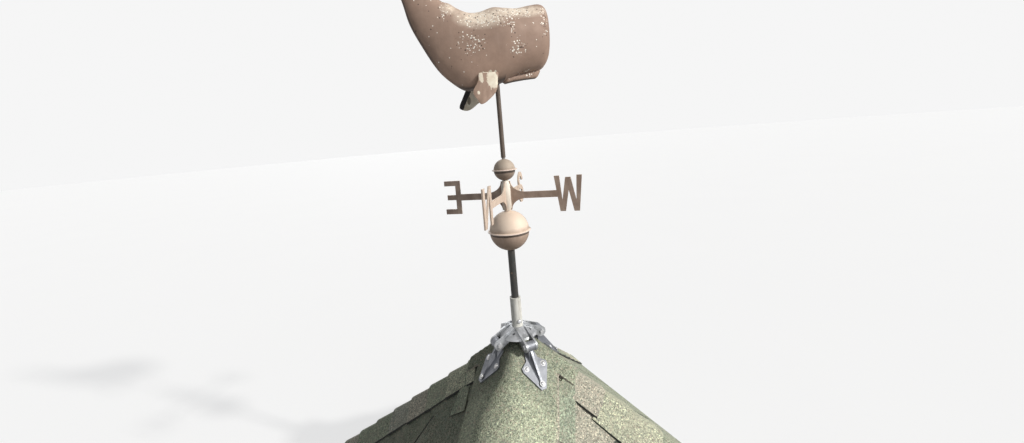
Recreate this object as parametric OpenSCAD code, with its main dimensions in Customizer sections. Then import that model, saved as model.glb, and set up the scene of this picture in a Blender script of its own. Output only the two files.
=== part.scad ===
// Hipped garage cupola roof with a roof mount and a sperm whale weathervane.
// The origin is the centre of the flat underside of the base frame, +Z is up,
// and the roof is square to X and Y. All lengths are in millimetres.

/* [Roof] */
// Outer side of the square base frame
base_side = 1060; // [800:10:1400]
// Height of the base frame rails
rail_h = 140; // [110:5:200]
// Thickness of the base frame rails
rail_t = 38; // [25:1:60]
// Pitch of the four roof planes in degrees
roof_pitch = 44; // [40:1:48]
// How far the deck runs out past the base frame
eave_out = 70; // [40:5:80]
// Thickness of the roof deck boards
deck_t = 12; // [9:1:19]
// Thickness of the board under the eave
eave_board_t = 19; // [12:1:25]
// Height of the lower edge of the eave board above the base
eave_board_z = 22; // [10:1:40]
// Width of the hip rafters
rafter_w = 38; // [25:1:50]
// Depth of the hip rafters, measured straight down
rafter_h = 85; // [50:5:110]
// Side of the post block under the peak
post_side = 89; // [70:1:120]
// Height of the post block
post_h = 150; // [110:10:220]

/* [Shingles] */
// Exposed height of one course of shingles
course_h = 140; // [110:5:180]
// Thickness of a course at its butt
butt_t = 7; // [4:0.5:10]
// Thickness of a course at its top
course_top_t = 3; // [2:0.5:4]
// Exposed length of one hip cap
cap_step = 112; // [100:1:130]
// Width of a hip cap on each side of the hip
cap_wing = 105; // [80:5:130]
// Thickness of a hip cap at its butt
cap_butt_t = 6; // [3:0.5:9]
// Thickness of a hip cap at its top
cap_top_t = 3; // [2:0.5:3]
// Slope length of the smooth cap over the peak
peak_cap_len = 200; // [185:5:215]
// Thickness of the smooth cap over the peak
peak_cap_t = 4; // [3:0.5:6]
// Half width of the smooth cap's lobe over a hip, seen from above
lobe_half = 48; // [35:1:60]
// Half width of the smooth cap's tail over the front left hip, seen from above
tail_half = 153; // [130:1:170]
// How far the tail reaches out from the mast, seen from above
tail_reach = 360; // [310:5:400]
// Width of the tail's soft bend on each plane at its lower end
bend_reach = 205; // [120:5:220]
// How far the peak is cut off below the point where the planes meet
peak_cut = 55; // [45:1:65]

/* [Roof mount] */
// Outer diameter of the mount sleeve
sleeve_d = 40; // [36:1:50]
// Height of the mount sleeve
sleeve_h = 154; // [120:2:200]
// Gap between the roof peak and the foot of the sleeve
sleeve_gap = 11; // [5:1:20]
// Outer diameter of the dished saddle
saddle_d = 144; // [130:2:150]
// Wall of the saddle
saddle_t = 6; // [5:0.5:9]
// Height of the saddle's neck on the sleeve
saddle_neck_z = 58; // [45:1:80]
// Height of the saddle's rim above the roof peak
saddle_rim_z = 30; // [22:1:40]
// Distance from the mast to a hinge pin
hinge_out = 88; // [86:1:100]
// Height of the hinge pins above the roof peak
hinge_z = 15; // [8:1:18]
// Outer diameter of the hinge eyes
eye_d = 36; // [30:1:40]
// Width of the leg's barrel between the ears
barrel_w = 30; // [20:1:40]
// Thickness of an ear
ear_t = 7; // [5:0.5:9]
// Diameter of the hinge bolts
bolt_d = 9.5; // [6:0.5:12]
// Width over the shoulders of a foot plate
foot_w = 96; // [80:2:110]
// Slope distance from the hinge to the shoulders of a foot plate
foot_shoulder = 61; // [52:1:70]
// Slope distance from the hinge to the tip of a foot plate
foot_len = 138; // [120:2:150]
// Thickness of a foot plate
foot_t = 5; // [4:0.5:8]
// Thickness of the rib on a foot plate
rib_t = 8; // [5:0.5:12]

/* [Mast] */
// Diameter of the rod that runs up through the mast
spindle_d = 12; // [10:0.5:14]
// Outer diameter of the pole
pole_d = 27; // [24:0.5:32]
// Height of the pole's top above the roof peak
pole_top = 344; // [300:2:400]
// Diameter of the large globe
large_globe_d = 146; // [120:2:170]
// Diameter of the small globe
small_globe_d = 79; // [64:1:94]
// How far a globe's seam stands out
seam_out = 6.5; // [4:0.5:10]
// Thickness of a globe's seam
seam_t = 3.5; // [2:0.5:6]
// Wall of a globe
globe_t = 2.5; // [2:0.5:4]
// Length of the hub that carries the compass arms
hub_h = 112; // [100:2:140]
// Outer diameter of the hub
hub_d = 26; // [22:1:34]

/* [Compass] */
// Turn of the compass cross against the roof in degrees
compass_turn = 228; // [0:1:360]
// Distance from the mast to the start of a letter
arm_len = 180; // [150:2:220]
// Depth of the arm's bar
arm_bar_h = 24; // [18:1:34]
// How far the tall root of an arm reaches out before it has narrowed to the bar
root_out = 60; // [45:1:75]
// Thickness of the arms and letters
arm_t = 5; // [4:0.5:7]
// Height of a letter
letter_h = 127; // [100:1:150]
// Width of the strokes of a letter
stroke = 19; // [14:0.5:24]

/* [Whale] */
// Direction that the whale points at rest in degrees
vane_turn = -12; // [-180:1:180]
// Diameter of the turning tube below the whale
tube_d = 17; // [16:0.5:22]
// Height of the whale's belly above the top of the small globe
belly_gap = 272; // [240:2:340]
// How far the tube reaches up into the whale
tube_in = 215; // [180:5:240]
// Wall of the hollow whale
whale_wall = 2.5; // [2:0.5:4]
// Length of the whale from its snout to the root of the flukes
whale_len = 544; // [490:2:598]
// Thickness of the flukes and flippers
fin_t = 5; // [4:0.5:8]
// How far the flippers are splayed out from upright in degrees
flipper_splay = 18; // [8:1:28]

/* [Hidden] */
$fn = 48;

// Gap at the joint between two flat pieces
joint_gap = 0.3;
// Gap around the fixed rod and in slip fits
slip = 0.2;
// Running clearance between the turning tube and the rod
bearing_gap = 0.3;
// Running clearance between the turning tube and the small globe
tube_lift = 5;
// Length of the straight edge at each shoulder of a foot plate
foot_edge = 12;
// How fast the smooth cap's bend widens below the shoulders of the foot plates
bend_grow = 1.6;
bend_steps = 8;
peak_rings = 12;
// A length longer than anything it cuts
far = 4000;

slope = tan(roof_pitch);
half = base_side / 2;
// Height at which the undersides of the four decks would meet
under_apex_z = rail_h + half * slope;
// Heights of the layers above the deck's underside, square to the plane
shingle_n = deck_t;
cap_n = shingle_n + butt_t + joint_gap;
peak_cap_n = cap_n + cap_butt_t + joint_gap;
skin_n = peak_cap_n + peak_cap_t;
// Height at which the outer faces of the peak cap would meet
skin_apex_z = under_apex_z + skin_n / cos(roof_pitch);
peak_z = skin_apex_z - peak_cut;
// Thickness of the smooth cap, measured straight down
peak_drop = peak_cap_t / cos(roof_pitch);
eave_half = half + eave_out;
// Slope length of a plane from the eave to the point where the planes meet
plane_len = eave_half / cos(roof_pitch);
hip_len = norm([eave_half, plane_len]);
// The caps of two hips would meet closer to the peak than this
cap_stop = cap_wing * plane_len / eave_half + 25;

spindle_z0 = peak_z + sleeve_gap;
globe_hole_d = spindle_d + 2 * slip;
large_globe_z = peak_z + pole_top + large_globe_d / 2;
hub_z = large_globe_z + large_globe_d / 2;
small_globe_z = hub_z + hub_h + small_globe_d / 2;
small_globe_top = small_globe_z + small_globe_d / 2;
tube_z0 = small_globe_top + tube_lift;
belly_z = small_globe_top + belly_gap;
tube_top = belly_z + tube_in;
tube_cap_t = 10;
spindle_top = tube_top - tube_cap_t - bearing_gap;
// The hub shows above and below the roots of the arms by this much
root_step = 3;
arm_z = hub_z + hub_h / 2;

shingle_green = [0.36, 0.41, 0.35];
granule_green = [0.47, 0.51, 0.40];
timber = [0.76, 0.65, 0.48];
copper = [0.50, 0.37, 0.30];
bright = [0.72, 0.73, 0.75];

// Turns a piece drawn for the front plane to plane i: front, right, back, left
module on_side(i) {
    rotate([0, 0, 90 * i]) children();
}

// Puts a flat piece on the front plane, with x along the eave and y up the slope,
// and z as the distance n above the underside of the deck
module on_front_plane(n = 0) {
    translate([0, 0, under_apex_z])
        rotate([roof_pitch, 0, 0])
            translate([0, -plane_len, n])
                children();
}

// The part of space that belongs to the front plane, between the two hips
module front_sector(gap) {
    linear_extrude(height = far)
        polygon([[0, -gap], [far, -far - gap], [-far, -far - gap]]);
}

// A stepped sheet of courses up to length l, thick at each butt, width w, y up the slope
module stepped_sheet(l, step, thick, thin, w) {
    n = ceil(l / step);
    last = l / step - (n - 1);
    rotate([90, 0, 90])
        linear_extrude(height = w, center = true)
            polygon(concat(
                [[0, 0]],
                [for (k = [0 : n - 1], e = [0, k < n - 1 ? 1 : last])
                    [(k + e) * step, thick + (thin - thick) * e]],
                [[l, 0]]
            ));
}

module peak_trim() {
    translate([-far / 2, -far / 2, peak_z - peak_drop - joint_gap]) cube([far, far, far]);
}

module base_rail(i) {
    color(timber)
        on_side(i)
            intersection() {
                translate([-half, -half, 0]) cube([base_side, rail_t, rail_h]);
                front_sector(joint_gap / 2);
            }
}

module hip_rafter(i) {
    drop = slope * (rafter_w / 2 + 1) / sqrt(2);
    r_low = (half - rail_t) * sqrt(2) - rafter_w / 2 - 2 * joint_gap;
    r_high = post_side / 2 + joint_gap;
    hip_slope = slope / sqrt(2);
    rotate([0, 0, 45 + 90 * i])
        rotate([90, 0, 0])
            linear_extrude(height = rafter_w, center = true)
                polygon([
                    [r_low, under_apex_z - drop - hip_slope * r_low],
                    [r_high, under_apex_z - drop - hip_slope * r_high],
                    [r_high, under_apex_z - drop - hip_slope * r_high - rafter_h],
                    [r_low, under_apex_z - drop - hip_slope * r_low - rafter_h]
                ]);
}

module hip_rafters() {
    color(timber) for (i = [0 : 3]) hip_rafter(i);
}

module peak_post() {
    // The post's corners stay under the deck
    top = under_apex_z - slope * (post_side / sqrt(2) + 1);
    color(timber)
        translate([0, 0, top - post_h])
            rotate([0, 0, 45])
                translate([-post_side / 2, -post_side / 2, 0])
                    cube([post_side, post_side, post_h]);
}

module deck(i) {
    color(timber)
        on_side(i)
            difference() {
                intersection() {
                    on_front_plane(0) translate([-eave_half, 0, joint_gap])
                        cube([2 * eave_half, 2 * plane_len, deck_t - joint_gap]);
                    front_sector(joint_gap / 2);
                }
                peak_trim();
            }
}

module eave_board(i) {
    y_out = eave_half - eave_board_t / 2;
    y_in = y_out - eave_board_t;
    top = rail_h + joint_gap;
    color("white")
        on_side(i)
            intersection() {
                rotate([90, 0, 90])
                    linear_extrude(height = 2 * far, center = true)
                        polygon([
                            [-y_out, eave_board_z],
                            [-y_in, eave_board_z],
                            [-y_in, top - (y_in - half) * slope - joint_gap],
                            [-y_out, top - (y_out - half) * slope - joint_gap]
                        ]);
                front_sector(joint_gap / 2);
            }
}

module shingles(i) {
    color(shingle_green)
        on_side(i)
            difference() {
                intersection() {
                    on_front_plane(shingle_n + joint_gap)
                        stepped_sheet(plane_len, course_h, butt_t - joint_gap, course_top_t, 2 * far);
                    front_sector(joint_gap / 2);
                }
                peak_trim();
            }
}

// One wing of a hip's caps: a stepped sheet along the hip, on the front plane.
// side is 1 for the hip on the right of the plane and -1 for the one on its left
module cap_wing_sheet(side) {
    hip_angle = atan2(plane_len, eave_half);
    past_hip = 60;
    on_front_plane(cap_n)
        intersection() {
            translate([side * eave_half, 0, 0])
                rotate([0, 0, side * (90 - hip_angle)])
                    translate([side * (past_hip - cap_wing) / 2, 0, 0])
                        stepped_sheet(hip_len - cap_stop, cap_step, cap_butt_t, cap_top_t, cap_wing + past_hip);
            translate([-far / 2, 0, -1]) cube([far, far, far]);
        }
}

module hip_caps(i) {
    color(shingle_green)
        on_side(i)
            union() {
                intersection() {
                    cap_wing_sheet(-1);
                    front_sector(0);
                }
                on_side(3)
                    intersection() {
                        cap_wing_sheet(1);
                        front_sector(0);
                    }
            }
}

// The smooth cap's outline seen from above: a skirt round the peak, a lobe over each hip
// and the long tail over the front left hip
module peak_plan() {
    skirt = peak_cap_len * cos(roof_pitch);
    tail_corner = 50;
    square(2 * skirt, center = true);
    for (i = [0 : 3])
        rotate(45 + 90 * i)
            translate([0, -lobe_half]) square([skirt * sqrt(2), 2 * lobe_half]);
    rotate(225)
        offset(r = tail_corner)
            translate([0, tail_corner - tail_half])
                square([tail_reach - tail_corner, 2 * (tail_half - tail_corner)]);
}

// Width of the soft bend where the planes are a from the mast, clear of the foot plates
function bend(a) =
    let (
        shoulder = (hinge_s + foot_shoulder + foot_edge / 2) * cos(roof_pitch),
        top = shoulder - foot_w / 2
    )
    a < shoulder ? a * top / shoulder : min(bend_reach, top + bend_grow * (a - shoulder));

// One ring of the smooth cap's outer face, square but for the bend at the front left
function peak_ring(a) =
    let (
        l = bend(a),
        z = skin_apex_z - slope * a,
        swell = [for (k = [0 : bend_steps]) let (t = k / bend_steps) [l * t - a, -a - l * t * pow(1 - t, 2)]]
    )
    concat(
        [[a, -a, z]],
        [for (k = [bend_steps : -1 : 0]) [swell[k][0], swell[k][1], z]],
        [for (k = [1 : bend_steps]) [swell[k][1], swell[k][0], z]],
        [[-a, a, z], [a, a, z]]
    );

module peak_shape() {
    top_half = peak_cut / slope;
    low_half = (tail_reach + tail_half) / sqrt(2) + 5;
    loft([for (k = [0 : peak_rings]) peak_ring(top_half + (low_half - top_half) * k / peak_rings)]);
}

module peak_cap() {
    color(granule_green)
        intersection() {
            difference() {
                peak_shape();
                translate([0, 0, -peak_drop]) peak_shape();
            }
            linear_extrude(height = far) peak_plan();
        }
}

// Where a hinge pin lies in the frame of its foot plate: down the slope from the point
// where the planes meet, and above the underside of the plate
hinge_s = hinge_out * cos(roof_pitch) + (peak_cut - hinge_z) * sin(roof_pitch);
hinge_n = hinge_out * sin(roof_pitch) - (peak_cut - hinge_z) * cos(roof_pitch) - joint_gap;

module mount_ear() {
    r = eye_d / 2;
    root_in = sleeve_d / 2 - 2;
    root_top = 12;
    root_low = 18;
    color(bright)
        rotate([90, 0, -90])
            linear_extrude(height = ear_t, center = true) {
                translate([hinge_out, hinge_z]) circle(d = eye_d);
                polygon([
                    [root_in, sleeve_gap],
                    [root_in, saddle_neck_z],
                    [sleeve_d / 2 + root_top, saddle_neck_z],
                    [hinge_out + r * cos(60), hinge_z + r * sin(60)],
                    [hinge_out - r * cos(60), hinge_z - r * sin(60)],
                    [sleeve_d / 2 + root_low, sleeve_gap + root_top]
                ]);
            }
}

module mount_saddle() {
    lip = 8;
    neck_out = 5;
    hole_d = 9;
    hole_in = 24;
    barrel_room = 0.7 * eye_d;
    color(bright)
        translate([0, 0, peak_z])
            difference() {
                union() {
                    translate([0, 0, sleeve_gap]) cylinder(d = sleeve_d, h = sleeve_h);
                    rotate_extrude()
                        polygon([
                            [sleeve_d / 2 - 1, saddle_neck_z],
                            [sleeve_d / 2 + neck_out, saddle_neck_z],
                            [saddle_d / 2 - neck_out, saddle_rim_z + saddle_t],
                            [saddle_d / 2, saddle_rim_z],
                            [saddle_d / 2 - lip, saddle_rim_z],
                            [sleeve_d / 2 - 1, saddle_neck_z - 1.6 * saddle_t]
                        ]);
                    for (i = [0 : 3], s = [-1, 1])
                        on_side(i)
                            translate([s * (barrel_w / 2 + slip + ear_t / 2), 0, 0]) mount_ear();
                }
                translate([0, 0, sleeve_gap - 1]) cylinder(d = pole_d + 2 * slip, h = sleeve_h + 2);
                for (i = [0 : 3]) on_side(i) {
                    translate([0, -hinge_out, hinge_z])
                        rotate([0, 90, 0]) cylinder(d = bolt_d + 2 * slip, h = foot_w, center = true);
                    rotate([0, 0, 45])
                        translate([0, hole_in - saddle_d / 2, 0]) cylinder(d = hole_d, h = saddle_neck_z + 10);
                    // Room for the leg's barrel between the ears
                    translate([-barrel_w / 2 - slip, -hinge_out - eye_d, hinge_z - eye_d])
                        cube([barrel_w + 2 * slip, eye_d + barrel_room, eye_d + 3]);
                }
            }
}

// A foot plate in its own frame: y up the slope from under the hinge, z square to the plane
module foot_plate() {
    collar = barrel_w / 2 + 3;
    neck = barrel_w / 2 + 8;
    neck_s = foot_shoulder - 25;
    tip = 9;
    outline = [
        [collar, -8],
        [neck, -neck_s],
        [foot_w / 2, -foot_shoulder + foot_edge / 2],
        [foot_w / 2, -foot_shoulder - foot_edge / 2],
        [tip, -foot_len]
    ];
    n = len(outline);
    linear_extrude(height = foot_t)
        polygon(concat(outline, [for (k = [n - 1 : -1 : 0]) [-outline[k][0], outline[k][1]]]));
}

module mount_foot(i) {
    barrel_d = eye_d - 2;
    leg_w = barrel_w - 8;
    // Where the leg and the rib leave the barrel, and where they sink into the plate
    leave = [-14, hinge_n - 4];
    sink = foot_t - 1;
    color(bright)
        on_side(i)
            translate([0, 0, skin_apex_z])
                rotate([roof_pitch, 0, 0])
                    translate([0, -hinge_s, joint_gap])
                        difference() {
                            union() {
                                foot_plate();
                                translate([0, 0, hinge_n]) rotate([0, 90, 0])
                                    cylinder(d = barrel_d, h = barrel_w, center = true);
                                rotate([90, 0, 90])
                                    linear_extrude(height = leg_w, center = true)
                                        polygon([leave, [12, hinge_n], [-10, sink], [-40, sink]]);
                                rotate([90, 0, 90])
                                    linear_extrude(height = rib_t, center = true)
                                        polygon([
                                            leave,
                                            [leave[0], sink],
                                            [8 - foot_len, sink],
                                            [14 - foot_len, foot_t + 3]
                                        ]);
                            }
                            translate([0, 0, hinge_n]) rotate([0, 90, 0])
                                cylinder(d = bolt_d + 2 * slip, h = foot_w, center = true);
                        }
}

module hinge_bolts() {
    grip = barrel_w + 2 * (slip + ear_t);
    head_t = 6;
    color(bright)
        for (i = [0 : 3])
            on_side(i)
                translate([0, -hinge_out, peak_z + hinge_z])
                    rotate([0, 90, 0]) {
                        cylinder(d = bolt_d, h = grip + 2 * head_t, center = true);
                        for (s = [-1, 1])
                            translate([0, 0, s * (grip / 2 + slip + head_t / 2)])
                                cylinder(d = bolt_d * 1.9, h = head_t, center = true, $fn = 6);
                    }
}

module pole() {
    color([0.20, 0.19, 0.18])
        translate([0, 0, peak_z + sleeve_gap])
            difference() {
                cylinder(d = pole_d, h = pole_top - sleeve_gap - joint_gap);
                translate([0, 0, -1]) cylinder(d = globe_hole_d, h = pole_top + 2);
            }
}

module spindle() {
    color([0.25, 0.22, 0.20])
        translate([0, 0, spindle_z0]) cylinder(d = spindle_d, h = spindle_top - spindle_z0);
}

module globe(d, z) {
    color(copper)
        translate([0, 0, z])
            rotate_extrude($fn = 96)
                difference() {
                    union() {
                        difference() {
                            circle(d = d);
                            circle(d = d - 2 * globe_t);
                        }
                        translate([d / 2 - globe_t, -seam_t / 2]) square([globe_t + seam_out, seam_t]);
                        for (s = [-1, 1])
                            translate([globe_hole_d / 2, s > 0 ? d / 2 - 8 : -d / 2 + joint_gap])
                                square([5, 8 - joint_gap]);
                    }
                    translate([-d, -d]) square([d + globe_hole_d / 2, 2 * d]);
                }
}

module large_globe() {
    globe(large_globe_d, large_globe_z);
}

module small_globe() {
    globe(small_globe_d, small_globe_z);
}

module compass_hub() {
    color(copper)
        translate([0, 0, hub_z])
            difference() {
                translate([0, 0, joint_gap]) cylinder(d = hub_d, h = hub_h - 2 * joint_gap);
                translate([0, 0, -1]) cylinder(d = globe_hole_d, h = hub_h + 2);
            }
}

module letter_n() {
    w = letter_h * 0.64;
    h = letter_h;
    t = stroke;
    d = t * 1.25;
    polygon([[0, 0], [t, 0], [t, h - d], [w - t, 0], [w, 0], [w, h], [w - t, h], [w - t, d], [t, h], [0, h]]);
}

module letter_e() {
    w = letter_h * 0.5;
    h = letter_h;
    t = stroke;
    m = (h - t) / 2;
    polygon([
        [0, 0], [w, 0], [w, t], [t, t], [t, m], [w * 0.85, m],
        [w * 0.85, m + t], [t, m + t], [t, h - t], [w, h - t], [w, h], [0, h]
    ]);
}

module letter_w() {
    w = letter_h * 0.78;
    h = letter_h;
    t = stroke;
    q = w / 4;
    polygon([
        [0, h], [q - t / 2, 0], [q + t / 2, 0], [2 * q, h * 0.6],
        [3 * q - t / 2, 0], [3 * q + t / 2, 0], [w, h], [w - t, h], [3 * q, h * 0.3],
        [2 * q + t / 2, h * 0.95], [2 * q - t / 2, h * 0.95], [q, h * 0.3], [t, h]
    ]);
}

module letter_s() {
    r = (letter_h + stroke) / 4;
    for (k = [0, 1])
        translate([r, r + k * (2 * r - stroke)])
            difference() {
                circle(r = r);
                circle(r = r - stroke);
                translate([k == 0 ? -2 * r : 0, k == 0 ? 0 : -2 * r]) square(2 * r);
            }
    // The spine joins the two bowls
    translate([r - 3, 2 * r - stroke]) square([6, stroke]);
}

// An arm in the plane of its letter: a tall root with concave edges, a bar and the letter
module arm_shape(k) {
    r0 = hub_d / 2 - joint_gap;
    root_h = hub_h - 2 * root_step;
    curve = (root_h - arm_bar_h) / 2;
    difference() {
        translate([r0, -root_h / 2]) square([root_out, root_h]);
        for (s = [-1, 1])
            translate([r0 + root_out, s * (arm_bar_h / 2 + curve)])
                scale([(root_out - arm_t) / curve, 1])
                    circle(r = curve, $fn = 64);
    }
    translate([r0, -arm_bar_h / 2]) square([arm_len - r0 + stroke / 2, arm_bar_h]);
    translate([arm_len, -letter_h / 2]) {
        if (k == 0) letter_n();
        if (k == 1) letter_e();
        if (k == 2) letter_s();
        if (k == 3) letter_w();
    }
}

// Arm k counts from north clockwise, with north to +X at no turn
module compass_arm(k) {
    color(copper)
        translate([0, 0, arm_z])
            rotate([0, 0, compass_turn - 90 * k])
                difference() {
                    rotate([90, 0, 0])
                        linear_extrude(height = arm_t, center = true) arm_shape(k);
                    cylinder(d = hub_d + 2 * joint_gap, h = far, center = true);
                }
}

module vane_tube() {
    bore_h = spindle_top + bearing_gap - tube_z0;
    color(copper)
        translate([0, 0, tube_z0])
            difference() {
                cylinder(d = tube_d, h = tube_top - tube_z0);
                translate([0, 0, -1]) cylinder(d = spindle_d + 2 * bearing_gap, h = bore_h + 1);
            }
}

// The whale's stations from snout to tail, each with the back's and the belly's point
// (along, up) and the half width. Along is forward of the mast, up is above the belly.
WHALE = [
    [206, 236, 206, 112, 24],
    [198, 267, 194, 76, 52],
    [176, 281, 172, 49, 72],
    [135, 276, 130, 38, 82],
    [86, 266, 84, 30, 87],
    [40, 268, 40, 14, 88],
    [0, 270, 0, 0, 84],
    [-45, 255, -60, -11, 76],
    [-85, 253, -114, -17, 66],
    [-120, 266, -165, 16, 56],
    [-148, 284, -208, 62, 47],
    [-176, 293, -251, 138, 37],
    [-200, 320, -286, 214, 28],
    [-226, 364, -303, 284, 21],
    [-257, 412, -320, 346, 15],
    [-286, 458, -338, 402, 11]
];
whale_sides = 24;
whale_steps = 2;
whale_tail = WHALE[len(WHALE) - 1];
// Scale of the whale against its drawn stations
whale_k = whale_len / (WHALE[0][0] - whale_tail[2]);

// Point on the smooth curve through list p at t, in stations
function smooth(p, t) =
    let (
        n = len(p) - 1,
        i = min(floor(t), n - 1),
        f = t - i,
        a = p[max(i - 1, 0)],
        b = p[i],
        c = p[i + 1],
        d = p[min(i + 2, n)]
    )
    0.5 * ((2 * b) + (c - a) * f + (2 * a - 5 * b + 4 * c - d) * f * f
        + (3 * b - a - 3 * c + d) * f * f * f);

// One ring of the whale in its own frame, x forward and z up, drawn in by inset
function whale_ring(s, inset) =
    let (
        top = [s[0], s[1]],
        bot = [s[2], s[3]],
        mid = (top + bot) / 2,
        reach = norm(top - bot) / 2,
        arm = (top - bot) / 2 * (reach - inset) / reach
    )
    [for (k = [0 : whale_sides - 1])
        let (
            a = 360 * k / whale_sides,
            c = cos(a),
            w = (s[4] - inset) * sign(sin(a)) * pow(abs(sin(a)), 0.85)
        )
        [mid[0] + arm[0] * c, w, mid[1] + arm[1] * c]];

module loft(rings) {
    n = len(rings);
    m = len(rings[0]);
    polyhedron(
        points = [for (r = rings, p = r) p],
        faces = concat(
            [[for (j = [0 : m - 1]) j]],
            [for (i = [0 : n - 2], j = [0 : m - 1], h = [0, 1])
                let (
                    a = i * m + j,
                    b = i * m + (j + 1) % m,
                    c = a + m,
                    d = b + m
                )
                h == 0 ? [a, c, b] : [b, c, d]],
            [[for (j = [m - 1 : -1 : 0]) (n - 1) * m + j]]
        )
    );
}

module whale_frame() {
    translate([0, 0, belly_z]) rotate([0, 0, vane_turn]) scale(whale_k) children();
}

module whale_hull() {
    n = len(WHALE) - 1;
    loft([for (t = [0 : n * whale_steps]) whale_ring(smooth(WHALE, t / whale_steps), 0)]);
}

// The hollow inside, which stops short of the snout and the tail
module whale_hollow() {
    n = len(WHALE) - 3;
    wall = whale_wall / whale_k;
    loft([for (t = [0 : n * whale_steps]) whale_ring(smooth(WHALE, 1 + t / whale_steps), wall)]);
}

module whale_body() {
    color(copper)
        difference() {
            whale_frame()
                difference() {
                    whale_hull();
                    whale_hollow();
                }
            translate([0, 0, belly_z - 40])
                cylinder(d = tube_d + 2 * slip, h = tube_in + 40 + joint_gap);
        }
}

module whale_jaw() {
    color(copper)
        whale_frame()
            difference() {
                intersection() {
                    rotate([90, 0, 0])
                        linear_extrude(height = 60, center = true)
                            polygon([
                                [26, -4], [60, 4], [104, 10], [146, 13],
                                [155, 20], [150, 31], [116, 30], [26, 30]
                            ]);
                    translate([0, 0, -20])
                        linear_extrude(height = 60)
                            polygon([[26, -17], [90, -13], [148, -7], [155, 0], [148, 7], [90, 13], [26, 17]]);
                }
                translate([0, 0, -joint_gap]) whale_hull();
            }
}

// The flukes: two blades swept back from a notch, flat in the plane of x and y
module fluke_outline() {
    blade = [
        [22, 0], [20, 14], [2, 50], [-18, 88], [-46, 122],
        [-50, 118], [-44, 84], [-34, 50], [-26, 22], [-14, 0]
    ];
    n = len(blade);
    polygon(concat(blade, [for (k = [n - 2 : -1 : 1]) [blade[k][0], -blade[k][1]]]));
}

module whale_flukes() {
    top = [whale_tail[0], whale_tail[1]];
    bot = [whale_tail[2], whale_tail[3]];
    mid = (top + bot) / 2;
    tilt = atan2(top[1] - bot[1], top[0] - bot[0]);
    color(copper)
        whale_frame()
            translate([mid[0], 0, mid[1]])
                rotate([0, -tilt, 0])
                    translate([0, 0, joint_gap])
                        linear_extrude(height = fin_t / whale_k) fluke_outline();
}

// A flipper hangs from the side of the belly, a fan swept back and out; s is 1 on the left
module flipper(s) {
    root = [0, s * 57, 38];
    color(copper)
        whale_frame()
            difference() {
                translate(root)
                    rotate([s * flipper_splay, 0, 0])
                        translate(-[0, 0, root[2]])
                            rotate([90, 0, 0])
                                linear_extrude(height = fin_t / whale_k, center = true)
                                    polygon([
                                        [-20, 42], [-28, -28], [-38, -46], [-62, -66], [-96, -88],
                                        [-126, -82], [-130, -68], [-118, -40], [-102, -6], [-78, 36]
                                    ]);
                whale_hull();
            }
}

base_rail(0);  // base_rail_front
base_rail(1);  // base_rail_right
base_rail(2);  // base_rail_back
base_rail(3);  // base_rail_left
hip_rafters();
peak_post();
deck(0);  // deck_front
deck(1);  // deck_right
deck(2);  // deck_back
deck(3);  // deck_left
eave_board(0);  // eave_board_front
eave_board(1);  // eave_board_right
eave_board(2);  // eave_board_back
eave_board(3);  // eave_board_left
shingles(0);  // shingles_front
shingles(1);  // shingles_right
shingles(2);  // shingles_back
shingles(3);  // shingles_left
hip_caps(0);  // hip_caps_front_left
hip_caps(1);  // hip_caps_front_right
hip_caps(2);  // hip_caps_back_right
hip_caps(3);  // hip_caps_back_left
peak_cap();
mount_saddle();
mount_foot(0);  // mount_foot_front
mount_foot(1);  // mount_foot_right
mount_foot(2);  // mount_foot_back
mount_foot(3);  // mount_foot_left
hinge_bolts();
pole();
spindle();
large_globe();
compass_hub();
compass_arm(0);  // compass_arm_north
compass_arm(1);  // compass_arm_east
compass_arm(2);  // compass_arm_south
compass_arm(3);  // compass_arm_west
small_globe();
vane_tube();
whale_body();
whale_jaw();
whale_flukes();
flipper(1);  // whale_flipper_left
flipper(-1);  // whale_flipper_right
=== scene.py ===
import math

import bmesh
import bpy
import numpy as np
from mathutils import Matrix, Vector
from mathutils.geometry import delaunay_2d_cdt


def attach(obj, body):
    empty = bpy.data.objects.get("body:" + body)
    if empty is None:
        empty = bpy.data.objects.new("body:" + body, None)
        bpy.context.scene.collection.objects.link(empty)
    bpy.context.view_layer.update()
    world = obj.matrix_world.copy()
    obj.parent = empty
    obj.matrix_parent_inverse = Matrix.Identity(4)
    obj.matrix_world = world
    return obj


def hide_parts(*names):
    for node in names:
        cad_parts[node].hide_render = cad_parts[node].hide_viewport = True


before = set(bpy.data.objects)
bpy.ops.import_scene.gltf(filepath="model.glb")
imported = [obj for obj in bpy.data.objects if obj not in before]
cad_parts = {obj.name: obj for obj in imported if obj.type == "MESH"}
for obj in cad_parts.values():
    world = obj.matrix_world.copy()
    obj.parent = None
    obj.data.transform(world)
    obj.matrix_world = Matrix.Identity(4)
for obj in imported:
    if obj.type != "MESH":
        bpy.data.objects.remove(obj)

rng = np.random.default_rng(11)
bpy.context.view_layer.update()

# The part's own sizes, in metres
PITCH = math.radians(44)
SLOPE, COS, SIN = math.tan(PITCH), math.cos(PITCH), math.sin(PITCH)
HALF, RAIL_H, EAVE_OUT = 0.530, 0.140, 0.070
EAVE = HALF + EAVE_OUT
PLANE = EAVE / COS
APEX = RAIL_H + HALF * SLOPE
DECK_T, BUTT_T, TOP_T, CAP_BUTT, CAP_TOP, PEAK_T, GAP = 0.012, 0.007, 0.003, 0.006, 0.003, 0.004, 0.0003
COURSE, CAP_STEP, CAP_WING = 0.140, 0.112, 0.105
CAP_N = DECK_T + BUTT_T + GAP
SKIN_N = CAP_N + CAP_BUTT + GAP + PEAK_T
SKIN_APEX = APEX + SKIN_N / COS
PEAK_CUT = 0.055
PEAK = SKIN_APEX - PEAK_CUT
PEAK_LEN, LOBE, TAIL, REACH, BEND_MAX, BEND_GROW = 0.200, 0.048, 0.153, 0.360, 0.205, 1.6
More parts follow.
